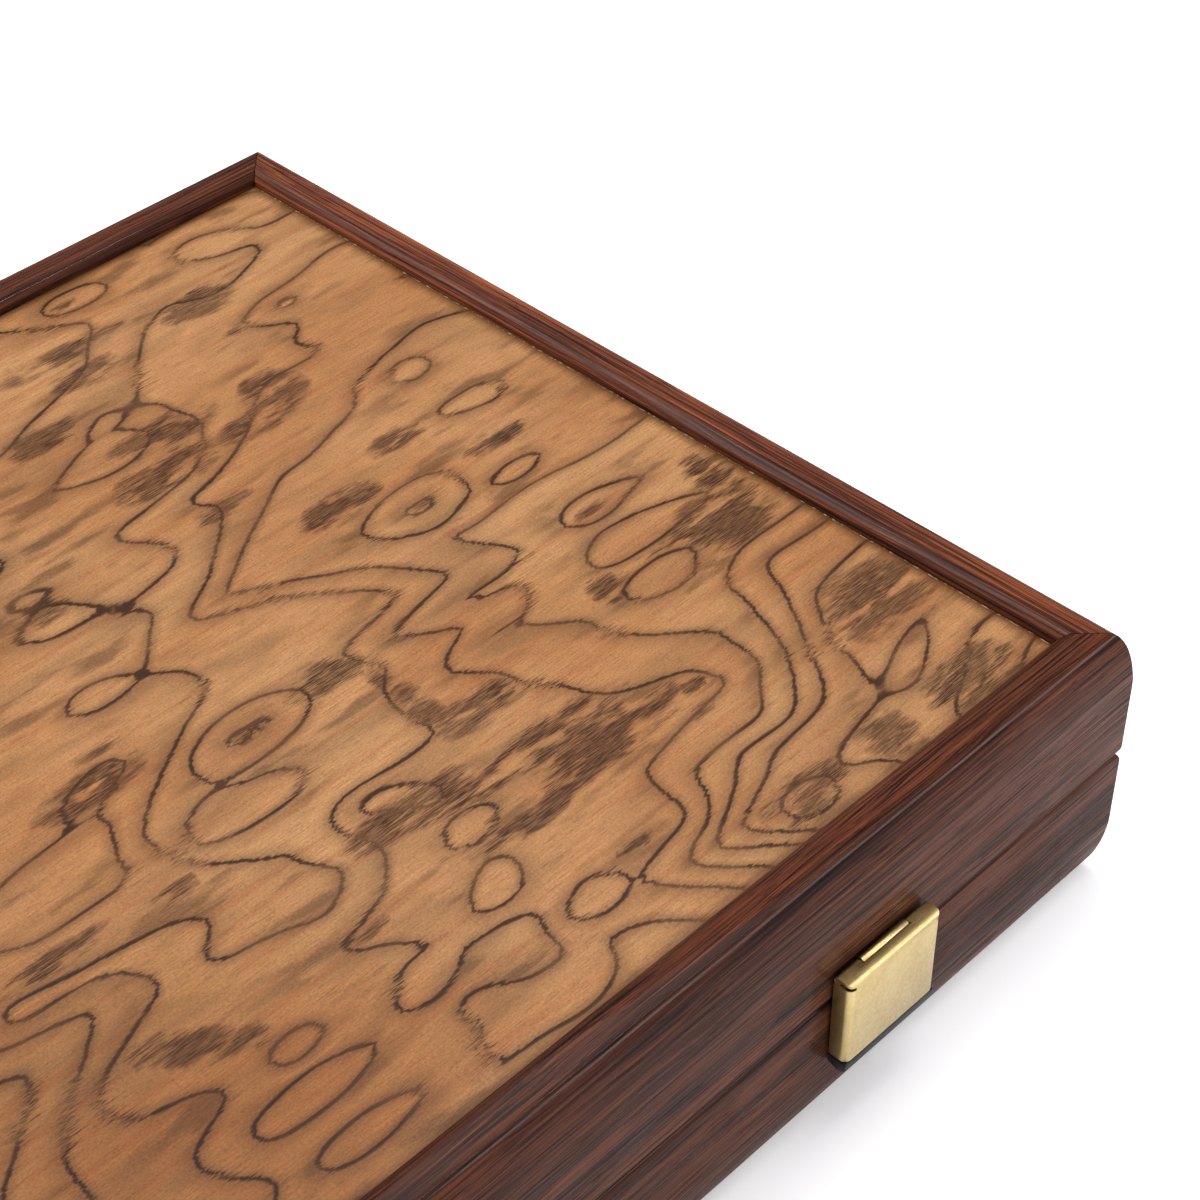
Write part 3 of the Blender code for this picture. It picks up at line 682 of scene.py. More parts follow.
    # painted shade: one broad part of the sheet is darker than the rest, for light that falls off there
    away = vectorCalc(tree, 'SUBTRACT', vector, look['paintedShadePlace'])
    away = vectorCalc(tree, 'MULTIPLY', stretch(tree, away, *look['paintedShadeSize'], 1), (1, 1, 0))
    away = vectorCalc(tree, 'DOT_PRODUCT', away, away, socket='Value')
    shade = blendColours(tree, remap(tree, away, 1.0, 0.0), shade, look['paintedShade'], 'MULTIPLY')
    # painted shadow of the rails gathers along their foot
    outward = vectorCalc(tree, 'ABSOLUTE', vectorCalc(tree, 'SUBTRACT', vector, (0, caseY / mm, 0)))
    sides = splitVector(tree, vectorCalc(tree, 'SUBTRACT', look['panelEnds'], outward))
    nearest = timesPlus(tree, hairs, 0.35, calc(tree, 'MINIMUM', sides[0], sides[1]))
    railShadow = remap(tree, nearest, 0.0, look['railShadowWidth'], look['railShadowDepth'], 0.0)
    shade = blendColours(tree, railShadow, shade, look['railShadow'])
    # pale crumbs of glue at the foot of the short rails
    crumbs = times(tree, remap(tree, pattern(0.7, 1.5, 3, 0.7), 0.5, 0.66),
                   remap(tree, sides[0], 0.3, 0.14, 0, look['glueShare']))
    plug(tree, out['Color'], blendColours(tree, crumbs, shade, look['glue']))
    plug(tree, out['Fibre'], hairs)
    return tree


def readAttribute(tree, label):
    node = tree.nodes.new('ShaderNodeAttribute')
    node.attribute_name = label
    return node.outputs['Fac']


def makeBurlMaterial():
    material, tree, sockets, place = newMaterial('burlVeneer', Specular_IOR_Level=burlLook['sheen'])
    figure = useGroup(tree, makeBurlFigure(), Vector=place, Level=readAttribute(tree, 'ringLevel'),
                      Along=readAttribute(tree, 'slopeAlong'), Across=readAttribute(tree, 'slopeAcross'),
                      Smear=readAttribute(tree, 'smear'))
    plug(tree, sockets['Base Color'], figure['Color'])
    unevenGloss(tree, sockets, place, 30.0, *burlLook['roughness'])
    addBump(tree, sockets, figure['Fibre'], 0.01 * mm, 0.5)
    return material


def makePanels():
    # the lid's panel, and its twin turned over for the base
    low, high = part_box('lid_burl_panel')
    size, cell = high - low, burlLook['cell']
    deselect()
    bpy.ops.mesh.primitive_grid_add(x_subdivisions=round(size.x / cell),
                                    y_subdivisions=round(size.y / cell), size=1)
    bpy.context.object.scale = (size.x, size.y, 1)
    bpy.context.object.location = ((low.x + high.x) / 2, (low.y + high.y) / 2, high.z)
    lidPanel = named('lid_veneered_panel')
    drawFigure(lidPanel)
    modify(lidPanel, 'SOLIDIFY', thickness=size.z, offset=-1)
    basePanel = copyOf(lidPanel, 'base_veneered_panel')
    settle(basePanel, location=(0, low.y + high.y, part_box('base_burl_panel')[0].z + high.z),
           rotation=(math.pi, 0, 0))
    burl = makeBurlMaterial()
    for half, panel in (('lid', lidPanel), ('base', basePanel)):
        hand(panel, burl, half, 'burl_veneer', f'{half}_burl_panel')


# Rail wood

railLook = {
    'shoulderWidth': 4.4 * mm, 'shoulderHeight': 14.3 * mm, 'shoulderSteps': 18,
    'seamWidth': 1.1 * mm, 'seamHeight': 1.8 * mm, 'seamSteps': 6,
    'slopeWidth': 1.8 * mm, 'slopeDrop': 1.6 * mm,
    'innerBevel': 0.8 * mm,
    'grooveDepth': 4.0 * mm, 'grooveRoom': 0.1 * mm,
    'hingeRoom': 0.3 * mm, 'hingePocket': 1.25 * mm,
    'softEdge': 0.16 * mm,
    'mitreGap': 0.1 * mm,
    'mitreEase': 0.1 * mm,
    'brown': colour(65, 32, 20),
    'russet': colour(98, 51, 32),
    'orange': colour(130, 69, 35), 'orangeStreaks': 0.65, 'orangeHairs': 0.4,
    'line': colour(20, 10, 9), 'darkStreaks': 0.85, 'darkHairs': 0.8, 'lineShare': 0.9,
    'roughness': (0.41, 0.51), 'roughLines': 0.35,
    'sheen': 0.05,
    'lacquer': 0.12, 'lacquerRoughness': 0.09,
    # painted light: the long rails are painted darker and the short rails lighter, for how the light falls on
    # each
    'longPaintedShade': 0.78, 'shortPaintedLight': 1.5,
    'longStreak': 70.0, 'shortStreak': 120.0,
    'hairLength': 34.0, 'hairWidth': 0.58,
}


def makeRailWood(name, turn, glow, length):
    look = railLook
    material, tree, sockets, place = newMaterial(
        name, Specular_IOR_Level=look['sheen'], Coat_Weight=look['lacquer'],
        Coat_Roughness=look['lacquerRoughness'])
    grain = turned(tree, place, turn)
    wood = useGroup(tree, streaks, Vector=grain, Length=length, Width=1.1, Wander=0.5)
    hairs = useGroup(tree, streaks, Vector=grain, Length=look['hairLength'], Width=look['hairWidth'],
                     Wander=0.9)
    shade = blendColours(tree, remap(tree, wood['Band'], 0.38, 0.62), look['brown'], look['russet'])
    for streak, none, full, share, tint in ((wood, 0.53, 0.72, look['orangeStreaks'], look['orange']),
                                            (hairs, 0.52, 0.68, look['orangeHairs'], look['orange']),
                                            (wood, 0.49, 0.36, look['darkStreaks'], look['line'])):
        shade = blendColours(tree, remap(tree, streak['Streak'], none, full, 0, share), shade, tint)
    dark = strongest(tree, wood['Line'], times(tree, hairs['Line'], look['darkHairs']),
                     remap(tree, hairs['Streak'], 0.48, 0.37, 0, look['darkHairs']))
    shade = blendColours(tree, times(tree, dark, look['lineShare']), shade, look['line'])
    # painted light: the colour is scaled darker or lighter for each kind of rail, for how the light falls on
    # it
    plug(tree, sockets['Base Color'], scaleColour(tree, shade, glow))
    uneven = useGroup(tree, smudges, Vector=place, Size=18.0)['Amount']
    gloss = remap(tree, uneven, 0.3, 0.7, *look['roughness'])
    plug(tree, sockets['Roughness'], timesPlus(tree, dark, look['roughLines'], gloss))
    height = calc(tree, 'SUBTRACT', times(tree, wood['Streak'], 0.5), dark)
    addBump(tree, sockets, height, 0.05 * mm, 0.7)
    return material


def ovalBevel(test, width, height, segments):
    # a bevel takes as much off both sides, so the piece is squashed until the oval is round
    squash = width / height
    selectAll()
    resize(1, 1, squash)
    pick('EDGE', lambda edge: runsAlongX(edge) and test(middle(edge).y, middle(edge).z / squash))
    bpy.ops.mesh.bevel(offset=width, segments=segments, profile=0.5, affect='EDGES')
    selectAll()
    resize(1, 1, 1 / squash)


def makeRail(name, length, grooveLow, grooveHigh):
    # a rail along X, its outer face at Y = 0 and its seam at Z = 0
    look, near = railLook, 0.01 * mm
    rail = startBox(name, (-length / 2, 0, 0), (length / 2, railWidth, railHeight))
    edit(rail)
    ovalBevel(lambda y, z: y < near and z > railHeight - near,
              look['shoulderWidth'], look['shoulderHeight'], look['shoulderSteps'])
    ovalBevel(lambda y, z: y < near and z < near,
              look['seamWidth'], look['seamHeight'], look['seamSteps'])
    ovalBevel(lambda y, z: y > railWidth - near and z > railHeight - near,
              look['slopeWidth'], look['slopeDrop'], 1)
    ovalBevel(lambda y, z: y > railWidth - near and z < near, look['innerBevel'], look['innerBevel'], 1)
    done()
    easeEdges(rail, look['softEdge'], 3, 30)
    cutAway(rail, startBox('groove', (-length, railWidth - look['grooveDepth'], grooveLow),
                           (length, railWidth * 2, grooveHigh)))
    edit(rail)
    back = look['mitreGap'] / math.sqrt(2)
    for side in (-1, 1):
        selectAll()
        bpy.ops.mesh.bisect(plane_co=(side * (length / 2 - back), 0, 0), plane_no=(side, 1, 0),
                            use_fill=True, clear_outer=True)
    pick('FACE', lambda face: abs(abs(face.normal.x) - math.sqrt(0.5)) < 0.01 and face.normal.y > 0.5)
    bpy.ops.mesh.region_to_loop()
    bpy.ops.mesh.bevel(offset=look['mitreEase'], segments=1, affect='EDGES')
    done()
    smooth(rail, 30)
    return rail


def placeRail(rail, half, across, quarters):
    settle(rail, location=(0, -across / 2, 0))
    settle(rail, rotation=(0, 0, quarters * math.pi / 2))
    if half == 'lid':
        settle(rail, location=(0, caseY, seamLevel + seamGap / 2))
    else:
        settle(rail, location=(0, caseY, seamLevel - seamGap / 2), rotation=(math.pi, 0, 0))


def cutForHinges(rail):
    room, deep = railLook['hingeRoom'], railLook['hingePocket']
    for side in ('left', 'right'):
        low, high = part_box(f'hinge_{side}_base_leaf')
        pocket = startBox('pocket', (low.x - room, low.y - room / 3, seamLevel - deep),
                          (high.x + room, hingeAxis.y, seamLevel + deep))
        channel = startCylinder('channel', high.y - hingeAxis.y + room, high.x - low.x + 2 * room,
                                ((low.x + high.x) / 2, hingeAxis.y, hingeAxis.z), (0, math.pi / 2, 0))
        cutAway(rail, pocket, channel)


def makeRails():
    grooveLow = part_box('lid_playing_board')[0].z - lidFront[0].z - railLook['grooveRoom']
    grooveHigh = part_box('lid_burl_panel')[1].z - lidFront[0].z + railLook['grooveRoom']
    longRail = makeRail('longRail', caseLength, grooveLow, grooveHigh)
    shortRail = makeRail('shortRail', caseDepth, grooveLow, grooveHigh)
    longWood = makeRailWood('railWoodLong', 0, railLook['longPaintedShade'], railLook['longStreak'])
    shortWood = makeRailWood('railWoodShort', math.pi / 2, railLook['shortPaintedLight'], railLook['shortStreak'])
    for half in ('lid', 'base'):
        front, back = ('front', 'back') if half == 'lid' else ('back', 'front')
        for quarters, side in enumerate((front, 'right', back, 'left')):
            long = quarters % 2 == 0
            node = f'{half}_{side}_rail'
            rail = copyOf(longRail if long else shortRail, f'{half}_{side}_moulding')
            placeRail(rail, half, caseDepth if long else caseLength, quarters)
            if side == 'back':
                cutForHinges(rail)
            smooth(rail, 30)
            hand(rail, longWood if long else shortWood, half, 'rail_wood', node)
    discard(longRail, shortRail)


makeRails()
print('rails made')

makePanels()
print('panels veneered')

# Metal

metalLook = {
    'brass': colour(204, 183, 132),
    'brassDeep': colour(168, 140, 84), 'deepMarks': 0.2, 'deepClouds': 0.3, 'deepMottle': 0.22,
    'black': colour(15, 14, 17),
    'blackPaler': colour(34, 32, 36),
    'brassRoughness': (0.3, 0.42), 'blackRoughness': (0.38, 0.5), 'markDepth': 0.006 * mm,
}


def makeBrushed():
    # fine marks along Z of the given vector, which is in metres
    tree, given, out = makeGroup('brushed', [('Vector', 'Vector', None)],
                                 [('Mark', 'Float'), ('Cloud', 'Float'), ('Mottle', 'Float')])
    millimetres = inMillimetres(tree, given['Vector'])
    for label, across, length, detail, roughness in (('Mark', 0.07, 1.2, 2, 0.6), ('Cloud', 5, 8, 3, 0.6),
                                                     ('Mottle', 0.55, 0.7, 3, 0.65)):
        pattern = stretch(tree, millimetres, across, across, length)
        plug(tree, out[label], noise(tree, pattern, detail, roughness))
    return tree


brushed = makeBrushed()


def makeBrass():
    material, tree, sockets, place = newMaterial('satinBrass', Metallic=1.0)
    marks = useGroup(tree, brushed, Vector=place)
    look = metalLook
    share = timesPlus(tree, marks['Mark'], look['deepMarks'],
                      remap(tree, marks['Cloud'], 0.35, 0.7, 0, look['deepClouds']))
    share = calc(tree, 'ADD', share, remap(tree, marks['Mottle'], 0.35, 0.7, 0, look['deepMottle']))
    plug(tree, sockets['Base Color'], blendColours(tree, share, look['brass'], look['brassDeep']))
    plug(tree, sockets['Roughness'], remap(tree, marks['Mottle'], 0.3, 0.7, *look['brassRoughness']))
    height = timesPlus(tree, marks['Mottle'], 2.0, marks['Mark'])
    addBump(tree, sockets, height, look['markDepth'], 0.5)
    return material


def makeBlack():
    # the catch is coloured near-black, with paler clouds in it
    material, tree, sockets, place = newMaterial('blackenedMetal', Specular_IOR_Level=0.25)
    marks = useGroup(tree, brushed, Vector=place)
    paler = remap(tree, marks['Cloud'], 0.35, 0.65)
    plug(tree, sockets['Base Color'], blendColours(tree, paler, metalLook['black'], metalLook['blackPaler']))
    plug(tree, sockets['Roughness'], remap(tree, marks['Cloud'], 0.3, 0.7, *metalLook['blackRoughness']))
    addBump(tree, sockets, marks['Mark'], metalLook['markDepth'], 0.4)
    return material


def refine(node, name, edge, segments=2):
    # a copy of a node with its triangles merged, and its edges eased
    piece = copyOf(frame['nodes'][node], name)
    piece.parent = None
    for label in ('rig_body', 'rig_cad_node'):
        del piece[label]
    edit(piece)
    bpy.ops.mesh.select_mode(type='VERT')
    selectAll()
    bpy.ops.mesh.remove_doubles(threshold=0.001 * mm)
    bpy.ops.mesh.dissolve_limited(angle_limit=math.radians(1))
    done()
    easeEdges(piece, edge, segments, 40)
    smooth(piece, 35)
    return piece


screwLook = {
    'hingeHead': 1.85 * mm, 'hingeShank': 1.1 * mm, 'hingeDepth': 0.95 * mm,
    'hingeInset': 7.5 * mm, 'hingeSink': 0.06 * mm,
    'catchHead': 1.7 * mm, 'catchShank': 0.8 * mm, 'catchDepth': 1.2 * mm,
    'catchInset': 6.0 * mm, 'catchRise': 4.2 * mm, 'catchSink': 0.15 * mm, 'catchRoom': 0.1 * mm,
    'nailHead': 1.15 * mm, 'nailRise': 0.5 * mm, 'nailInset': 8.8 * mm, 'nailDrop': 3.5 * mm,
    'rim': 0.12 * mm, 'crown': 0.05 * mm, 'slot': 0.38 * mm, 'slotDepth': 0.4 * mm, 'sides': 32,
    'turns': (24, -63, 71, 8, -35, 52, 15, -80), 'catchTurn': 40,
}


def startCone(name, head, shank, depth):
    # the wide end lies at Z = 0 and the narrow end hangs below it
    deselect()
    bpy.ops.mesh.primitive_cone_add(vertices=screwLook['sides'], radius1=shank, radius2=head,
                                    depth=depth, location=(0, 0, -depth / 2))
    return named(name)


def makeScrew(name, head, shank, depth):
    # a countersunk slotted screw, its head up and level with Z = 0
    screw = startCone(name, head, shank, depth)
    edit(screw)
    pick('FACE', lambda face: face.normal.z > 0.9)
    bpy.ops.mesh.inset(thickness=screwLook['rim'])
    bpy.ops.transform.translate(value=(0, 0, screwLook['crown']))
    done()
    half, deep = screwLook['slot'] / 2, screwLook['slotDepth']
    cutAway(screw, startBox('slot', (-head * 1.5, -half, -deep), (head * 1.5, half, deep)))
    smooth(screw, 30)
    return screw


def makeNail(name):
    # the low round head of a nail, facing up from Z = 0
    head, rise = screwLook['nailHead'], screwLook['nailRise']
    deselect()
    bpy.ops.mesh.primitive_uv_sphere_add(segments=screwLook['sides'], ring_count=16, radius=head)
    nail = named(name)
    edit(nail)
    selectAll()
    bpy.ops.mesh.bisect(plane_co=(0, 0, 0.001 * mm), plane_no=(0, 0, -1), use_fill=True, clear_outer=True)
    selectAll()
    resize(1, 1, rise / head)
    done()
    smooth(nail, 40)
    return nail


def placeFitting(pattern, name, place, turn, tilt, material, body):
    piece = copyOf(pattern, name)
    settle(piece, rotation=(0, 0, math.radians(turn)))
    settle(piece, location=place, rotation=tilt)
    hand(piece, material, body, 'brass')


def twoPlaces(first, second):
    # two fittings in a row, numbered from the left
    return (1, first), (2, second)


hingeLook = {'edge': 0.06 * mm}


def makeHinges(brass):
    look, turns = screwLook, iter(screwLook['turns'])
    screw = makeScrew('hingeScrew', look['hingeHead'], look['hingeShank'], look['hingeDepth'])
    for side in ('left', 'right'):
        for part, body in (('base_leaf', 'base'), ('lid_leaf', 'lid'), ('pin', 'base')):
            node = f'hinge_{side}_{part}'
            hand(refine(node, node + '_brass', hingeLook['edge']), brass, body, 'brass', node)
        low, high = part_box(f'hinge_{side}_base_leaf')
        barrel = high.y - hingeAxis.y + railLook['hingeRoom']
        y = (low.y + hingeAxis.y - barrel) / 2
        for body, way, tilt in (('base', -1, (0, 0, 0)), ('lid', 1, (math.pi, 0, 0))):
            level = seamLevel + way * (seamGap / 2 + look['hingeSink'])
            for number, x in twoPlaces(low.x + look['hingeInset'], high.x - look['hingeInset']):
                placeFitting(screw, f'hinge_{side}_{body}_screw_{number}', (x, y, level), next(turns), tilt,
                             brass, body)
    discard(screw)


latchLook = {
    'edges': {'cover': 0.07 * mm, 'hinge_plate': 0.05 * mm, 'pin': 0.06 * mm, 'catch': 0.25 * mm},
    'coverRound': 1.4 * mm,
    'catchFace': 3.3 * mm,  # how far the catch's face stands out from the rail
    'sheet': 0.6 * mm,
}


def roundCorners(cover, low, high):
    # takes the top flange's front corners back to the rounded walls below it
    room = 0.01 * mm
    keep = startBox('keep', (low.x - room, low.y - room, low.z - mm),
                    (high.x + room, high.y + mm, high.z + mm))
    edit(keep)
    pick('EDGE', lambda edge: middle(edge).y < low.y and abs(edge.verts[0].co.z - edge.verts[1].co.z) > mm)
    bpy.ops.mesh.bevel(offset=latchLook['coverRound'], segments=8, affect='EDGES')
    done()
    cutAway(cover, keep, operation='INTERSECT')
    smooth(cover, 35)


def makeLatches(brass, black):
    look, edges, near = screwLook, latchLook['edges'], 0.01 * mm
    screw = makeScrew('catchScrew', look['catchHead'], look['catchShank'], look['catchDepth'])
    nail = makeNail('plateNail')
    forward = (math.pi / 2, 0, 0)
    face = baseFront[0].y - latchLook['catchFace']
    for side in ('left', 'right'):
        for part, body in (('cover', f'latch_{side}'), ('hinge_plate', 'lid'), ('pin', 'lid')):
            node = f'latch_{side}_{part}'
            piece = refine(node, node + '_brass', edges[part])
            if part == 'cover':
                roundCorners(piece, *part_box(node))
            hand(piece, brass, body, 'brass', node)
        node = f'latch_{side}_catch'
        catch = refine(node, node + '_black', edges['catch'], 3)
        low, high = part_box(node)
        centre = (low.x + high.x) / 2
        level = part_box(f'latch_{side}_cover')[0].z + look['catchRise']
        for number, x in twoPlaces(centre - look['catchInset'], centre + look['catchInset']):
            sink = startCone('sink', look['catchHead'] + look['catchRoom'], look['catchShank'],
                             look['catchDepth'])
            settle(sink, location=(x, face - near, level), rotation=forward)
            cutAway(catch, sink)
            placeFitting(screw, f'latch_{side}_catch_screw_{number}', (x, face + look['catchSink'], level),
                         look['turns'][number] + look['catchTurn'], forward, brass, 'base')
        smooth(catch, 35)
        hand(catch, black, 'base', 'black_metal', node)
        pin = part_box(f'latch_{side}_pin')
        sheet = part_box(f'latch_{side}_hinge_plate')[1].y - latchLook['sheet'] + near
        level = (pin[0].z + pin[1].z) / 2 - look['nailDrop']
        for number, x in twoPlaces(centre - look['nailInset'], centre + look['nailInset']):
            placeFitting(nail, f'latch_{side}_plate_nail_{number}', (x, sheet, level), 0, forward, brass,
                         'lid')
    discard(screw, nail)


makeHinges(makeBrass())
makeLatches(bpy.data.materials['satinBrass'], makeBlack())
print('latches and hinges made')

# Playing field

fieldLook = {
    'rows': 6,
    'edgeMargin': 2.0 * mm, 'spacing': 2.0 * mm, 'tipGap': 80.0 * mm,
    'inlayDepth': 0.48 * mm, 'joint': 0.04 * mm,
    'sheen': 0.3, 'roughness': (0.34, 0.42), 'grainLength': 26.0, 'grainWidth': 0.8,
    'fieldDark': colour(104, 64, 42), 'fieldLight': colour(133, 86, 58),
    'darkPoint': colour(40, 22, 14), 'darkPointLight': colour(76, 43, 26),
    'palePoint': colour(196, 155, 108), 'palePointDark': colour(170, 125, 82),
}


def makeVeneer(name, dark, light, turn, length=fieldLook['grainLength'], width=fieldLook['grainWidth']):
    material, tree, sockets, place = newMaterial(name, Specular_IOR_Level=fieldLook['sheen'])
    wood = useGroup(tree, streaks, Vector=turned(tree, place, turn), Length=length, Width=width, Wander=1.6)
    share = calc(tree, 'ADD', times(tree, remap(tree, wood['Band'], 0.32, 0.68), 0.55),
                 times(tree, remap(tree, wood['Streak'], 0.36, 0.66), 0.45))
    shade = blendColours(tree, share, dark, light)
    shade = blendColours(tree, times(tree, wood['Pore'], 0.35), shade, dark, 'MULTIPLY')
    plug(tree, sockets['Base Color'], shade)
    unevenGloss(tree, sockets, place, 25.0, *fieldLook['roughness'])
    addBump(tree, sockets, calc(tree, 'SUBTRACT', wood['Streak'], wood['Pore']), 0.02 * mm, 0.5)
    return material


def makePoint(pitch, length):
    # a thin wedge of veneer: foot at X = 0, tip along X, face up at Z = 0
    joint, deep = fieldLook['joint'], fieldLook['inlayDepth']
    width, reach = pitch - fieldLook['spacing'] - 2 * joint, length - 10 * joint
    point = startCylinder('point', 1, deep, turn=(0, 0, -math.pi / 2), sides=3)
    edit(point)
    selectAll()
    resize(reach / 1.5, width / math.sqrt(3), 1)
    bpy.ops.transform.translate(value=(reach / 3 + joint, 0, -deep / 2))
    pick('FACE', lambda face: face.normal.z > 0.9)
    bpy.ops.mesh.inset(thickness=1.5 * joint)
    pick('EDGE', lambda edge: all(vertex.co.z > -deep / 2 for vertex in edge.verts)
         and len(edge.link_faces) == 2 and any(abs(face.normal.z) < 0.5 for face in edge.link_faces))
    bpy.ops.transform.translate(value=(0, 0, -joint))
    done()
    smooth(point, 20)
    return point


def makeField():
    halfLength, halfDepth = caseLength / 2 - railWidth, caseDepth / 2 - railWidth
    pitch = 2 * halfDepth / fieldLook['rows']
    foot = halfLength - fieldLook['edgeMargin']
    length = foot - fieldLook['tipGap'] / 2
    field = makeVeneer('fieldVeneer', fieldLook['fieldDark'], fieldLook['fieldLight'], math.pi / 2)
    dark = makeVeneer('darkPointVeneer', fieldLook['darkPoint'], fieldLook['darkPointLight'], 0)
    pale = makeVeneer('palePointVeneer', fieldLook['palePointDark'], fieldLook['palePoint'], 0)
    pattern = makePoint(pitch, length)
    for half in ('base', 'lid'):
        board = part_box(f'{half}_playing_board')
        paint(frame['nodes'][f'{half}_playing_board'], field)
        level, tilt = (board[1].z, 0) if half == 'base' else (board[0].z, math.pi)
        for side, word in ((-1, 'left'), (1, 'right')):
            for row in range(fieldLook['rows']):
                point = copyOf(pattern, f'{half}_point_{word}_{row + 1}')
                settle(point, rotation=(tilt, 0, 0 if side < 0 else math.pi))
                y = caseY - halfDepth + pitch * (row + 1 / 2)
                settle(point, location=(side * foot, y, level))
                isDark = (row + (side > 0) + (half == 'lid')) % 2
                hand(point, dark if isDark else pale, half, 'rail_wood' if isDark else 'burl_veneer')
    discard(pattern)


makeField()
print('field inlaid')

# Men and dice

menLook = {
    'edgeRound': 1.4 * mm, 'rim': 0.9 * mm, 'slope': 4.4 * mm, 'dish': 0.9 * mm,
    'rimRound': 0.5 * mm, 'dishRound': 1.4 * mm,
    'sides': 56,
    'dark': colour(46, 24, 18), 'darkLight': colour(84, 46, 32),
    'pale': colour(214, 173, 124), 'paleDark': colour(186, 141, 96),
    'grain': (0.6, 18.0, 0.7),  # its turn, length and width
}

diceLook = {
    'round': 1.6 * mm, 'steps': 5,
    'pipRadius': 1.15 * mm, 'pipSink': 0.45 * mm, 'pipPitch': 3.1 * mm,
    'ivory': colour(236, 225, 200), 'ivoryDeep': colour(222, 205, 170), 'ivoryRoughness': (0.22, 0.32),
    'pip': colour(38, 26, 22), 'pipRoughness': (0.4, 0.55),
}


def makeMan(radius, thickness):
    look, half, near = menLook, thickness / 2, 0.05 * mm
    man = startCylinder('man', radius, thickness, sides=look['sides'])
    edit(man)
    pick('FACE', lambda face: abs(face.normal.z) > 0.9)
    bpy.ops.mesh.inset(thickness=look['edgeRound'] + look['rim'])
    bpy.ops.mesh.inset(thickness=look['slope'])
    resize(1, 1, (half - look['dish']) / half)
    rim = radius - look['edgeRound'] - look['rim']
    for ring, level, width, segments in ((radius, half, look['edgeRound'], 5),
                                         (rim, half, look['rimRound'], 3),
                                         (rim - look['slope'], half - look['dish'], look['dishRound'], 3)):
        pick('EDGE', lambda edge: abs(edge.verts[0].co.z - edge.verts[1].co.z) < near
             and all(abs(vertex.co.xy.length - ring) < near and abs(abs(vertex.co.z) - level) < near
                     for vertex in edge.verts))
        bpy.ops.mesh.bevel(offset=width, segments=segments, affect='EDGES')
    done()
    smooth(man, 40)
    return man


def makeMen():
    low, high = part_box('man_dark_01')
    pattern = makeMan((high.x - low.x) / 2, high.z - low.z)
    dark = makeVeneer('darkMen', menLook['dark'], menLook['darkLight'], *menLook['grain'])
    pale = makeVeneer('paleMen', menLook['paleDark'], menLook['pale'], *menLook['grain'])
    for node in [name for name in frame['nodes'] if name.startswith('man_')]:
        low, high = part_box(node)
        man = copyOf(pattern, node.replace('man_', 'turned_man_'))
        settle(man, location=(low + high) / 2)
        isDark = 'dark' in node
        hand(man, dark if isDark else pale, 'base', 'men_dark' if isDark else 'men_light', node)
    discard(pattern)


def makeIvory():
    material, tree, sockets, place = newMaterial('ivoryDice', Specular_IOR_Level=0.55)
    uneven = unevenGloss(tree, sockets, place, 4.0, *diceLook['ivoryRoughness'])
    shade = blendColours(tree, remap(tree, uneven, 0.35, 0.65), diceLook['ivory'], diceLook['ivoryDeep'])
    plug(tree, sockets['Base Color'], shade)
    return material


def makePipPaint():
    material, tree, sockets, place = newMaterial('pipPaint', Specular_IOR_Level=0.4)
    uneven = unevenGloss(tree, sockets, place, 1.0, *diceLook['pipRoughness'])
    deep = scaleColour(tree, diceLook['pip'], remap(tree, uneven, 0.3, 0.7, 0.7, 1.3))
    plug(tree, sockets['Base Color'], deep)
    return material


def makeDie(size, ivory, pipPaint):
    # opposite faces add up to seven
    look, half = diceLook, size / 2
    die = startBox('die', (-half, -half, -half), (half, half, half))
    modify(die, 'BEVEL', width=look['round'], segments=look['steps'])
    paint(die, ivory)
    corners = [(-1, -1), (1, 1), (-1, 1), (1, -1)]
    spots = {1: [(0, 0)], 2: corners[:2], 3: corners[:2] + [(0, 0)], 4: corners,
             5: corners + [(0, 0)], 6: corners + [(-1, 0), (1, 0)]}
    turns = {1: (0, 0, 0), 6: (math.pi, 0, 0), 2: (math.pi / 2, 0, 0), 5: (-math.pi / 2, 0, 0),
             3: (0, math.pi / 2, 0), 4: (0, -math.pi / 2, 0)}
    pips, level = [], half + look['pipRadius'] - look['pipSink']
    for count, turn in turns.items():
        for x, y in spots[count]:
            deselect()
            bpy.ops.mesh.primitive_uv_sphere_add(segments=20, ring_count=10, radius=look['pipRadius'])
            pip = bpy.context.object
            settle(pip, location=(x * look['pipPitch'], y * look['pipPitch'], level))
            settle(pip, rotation=turn)
            paint(pip, pipPaint)
            pips.append(pip)
    makeActive(pips[0])
    for pip in pips:
        pip.select_set(True)
    bpy.ops.object.join()
    makeActive(die)
    modifier = die.modifiers.new('pips', 'BOOLEAN')
    modifier.solver, modifier.object, modifier.material_mode = 'EXACT', pips[0], 'TRANSFER'
    bpy.ops.object.modifier_apply(modifier='pips')
    discard(pips[0])
    smooth(die, 35)
    return die


def makeDice():
    low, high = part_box('die_1')
    ivory, pipPaint = makeIvory(), makePipPaint()
    pattern = makeDie(high.z - low.z, ivory, pipPaint)
    for node, tilt, turn in (('die_1', (0, 0, 0), 18), ('die_2', (math.pi / 2, 0, 0), -31)):
        low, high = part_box(node)
        die = copyOf(pattern, node.replace('die', 'ivory_die'))
        settle(die, rotation=tilt)
        settle(die, location=(low + high) / 2, rotation=(0, 0, math.radians(turn)))
        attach(die, 'base')
        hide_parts(node)
    discard(pattern)


makeMen()
makeDice()
print('men and dice made')

# Surroundings

cameraLook = {
    'place': (-0.081677, -0.30183, 0.380935),
    'azimuth': 45.3877,
    'elevation': 41.2019,
    'roll': -0.5743,
    'lens': 77.99,
    'sensor': 36,
}

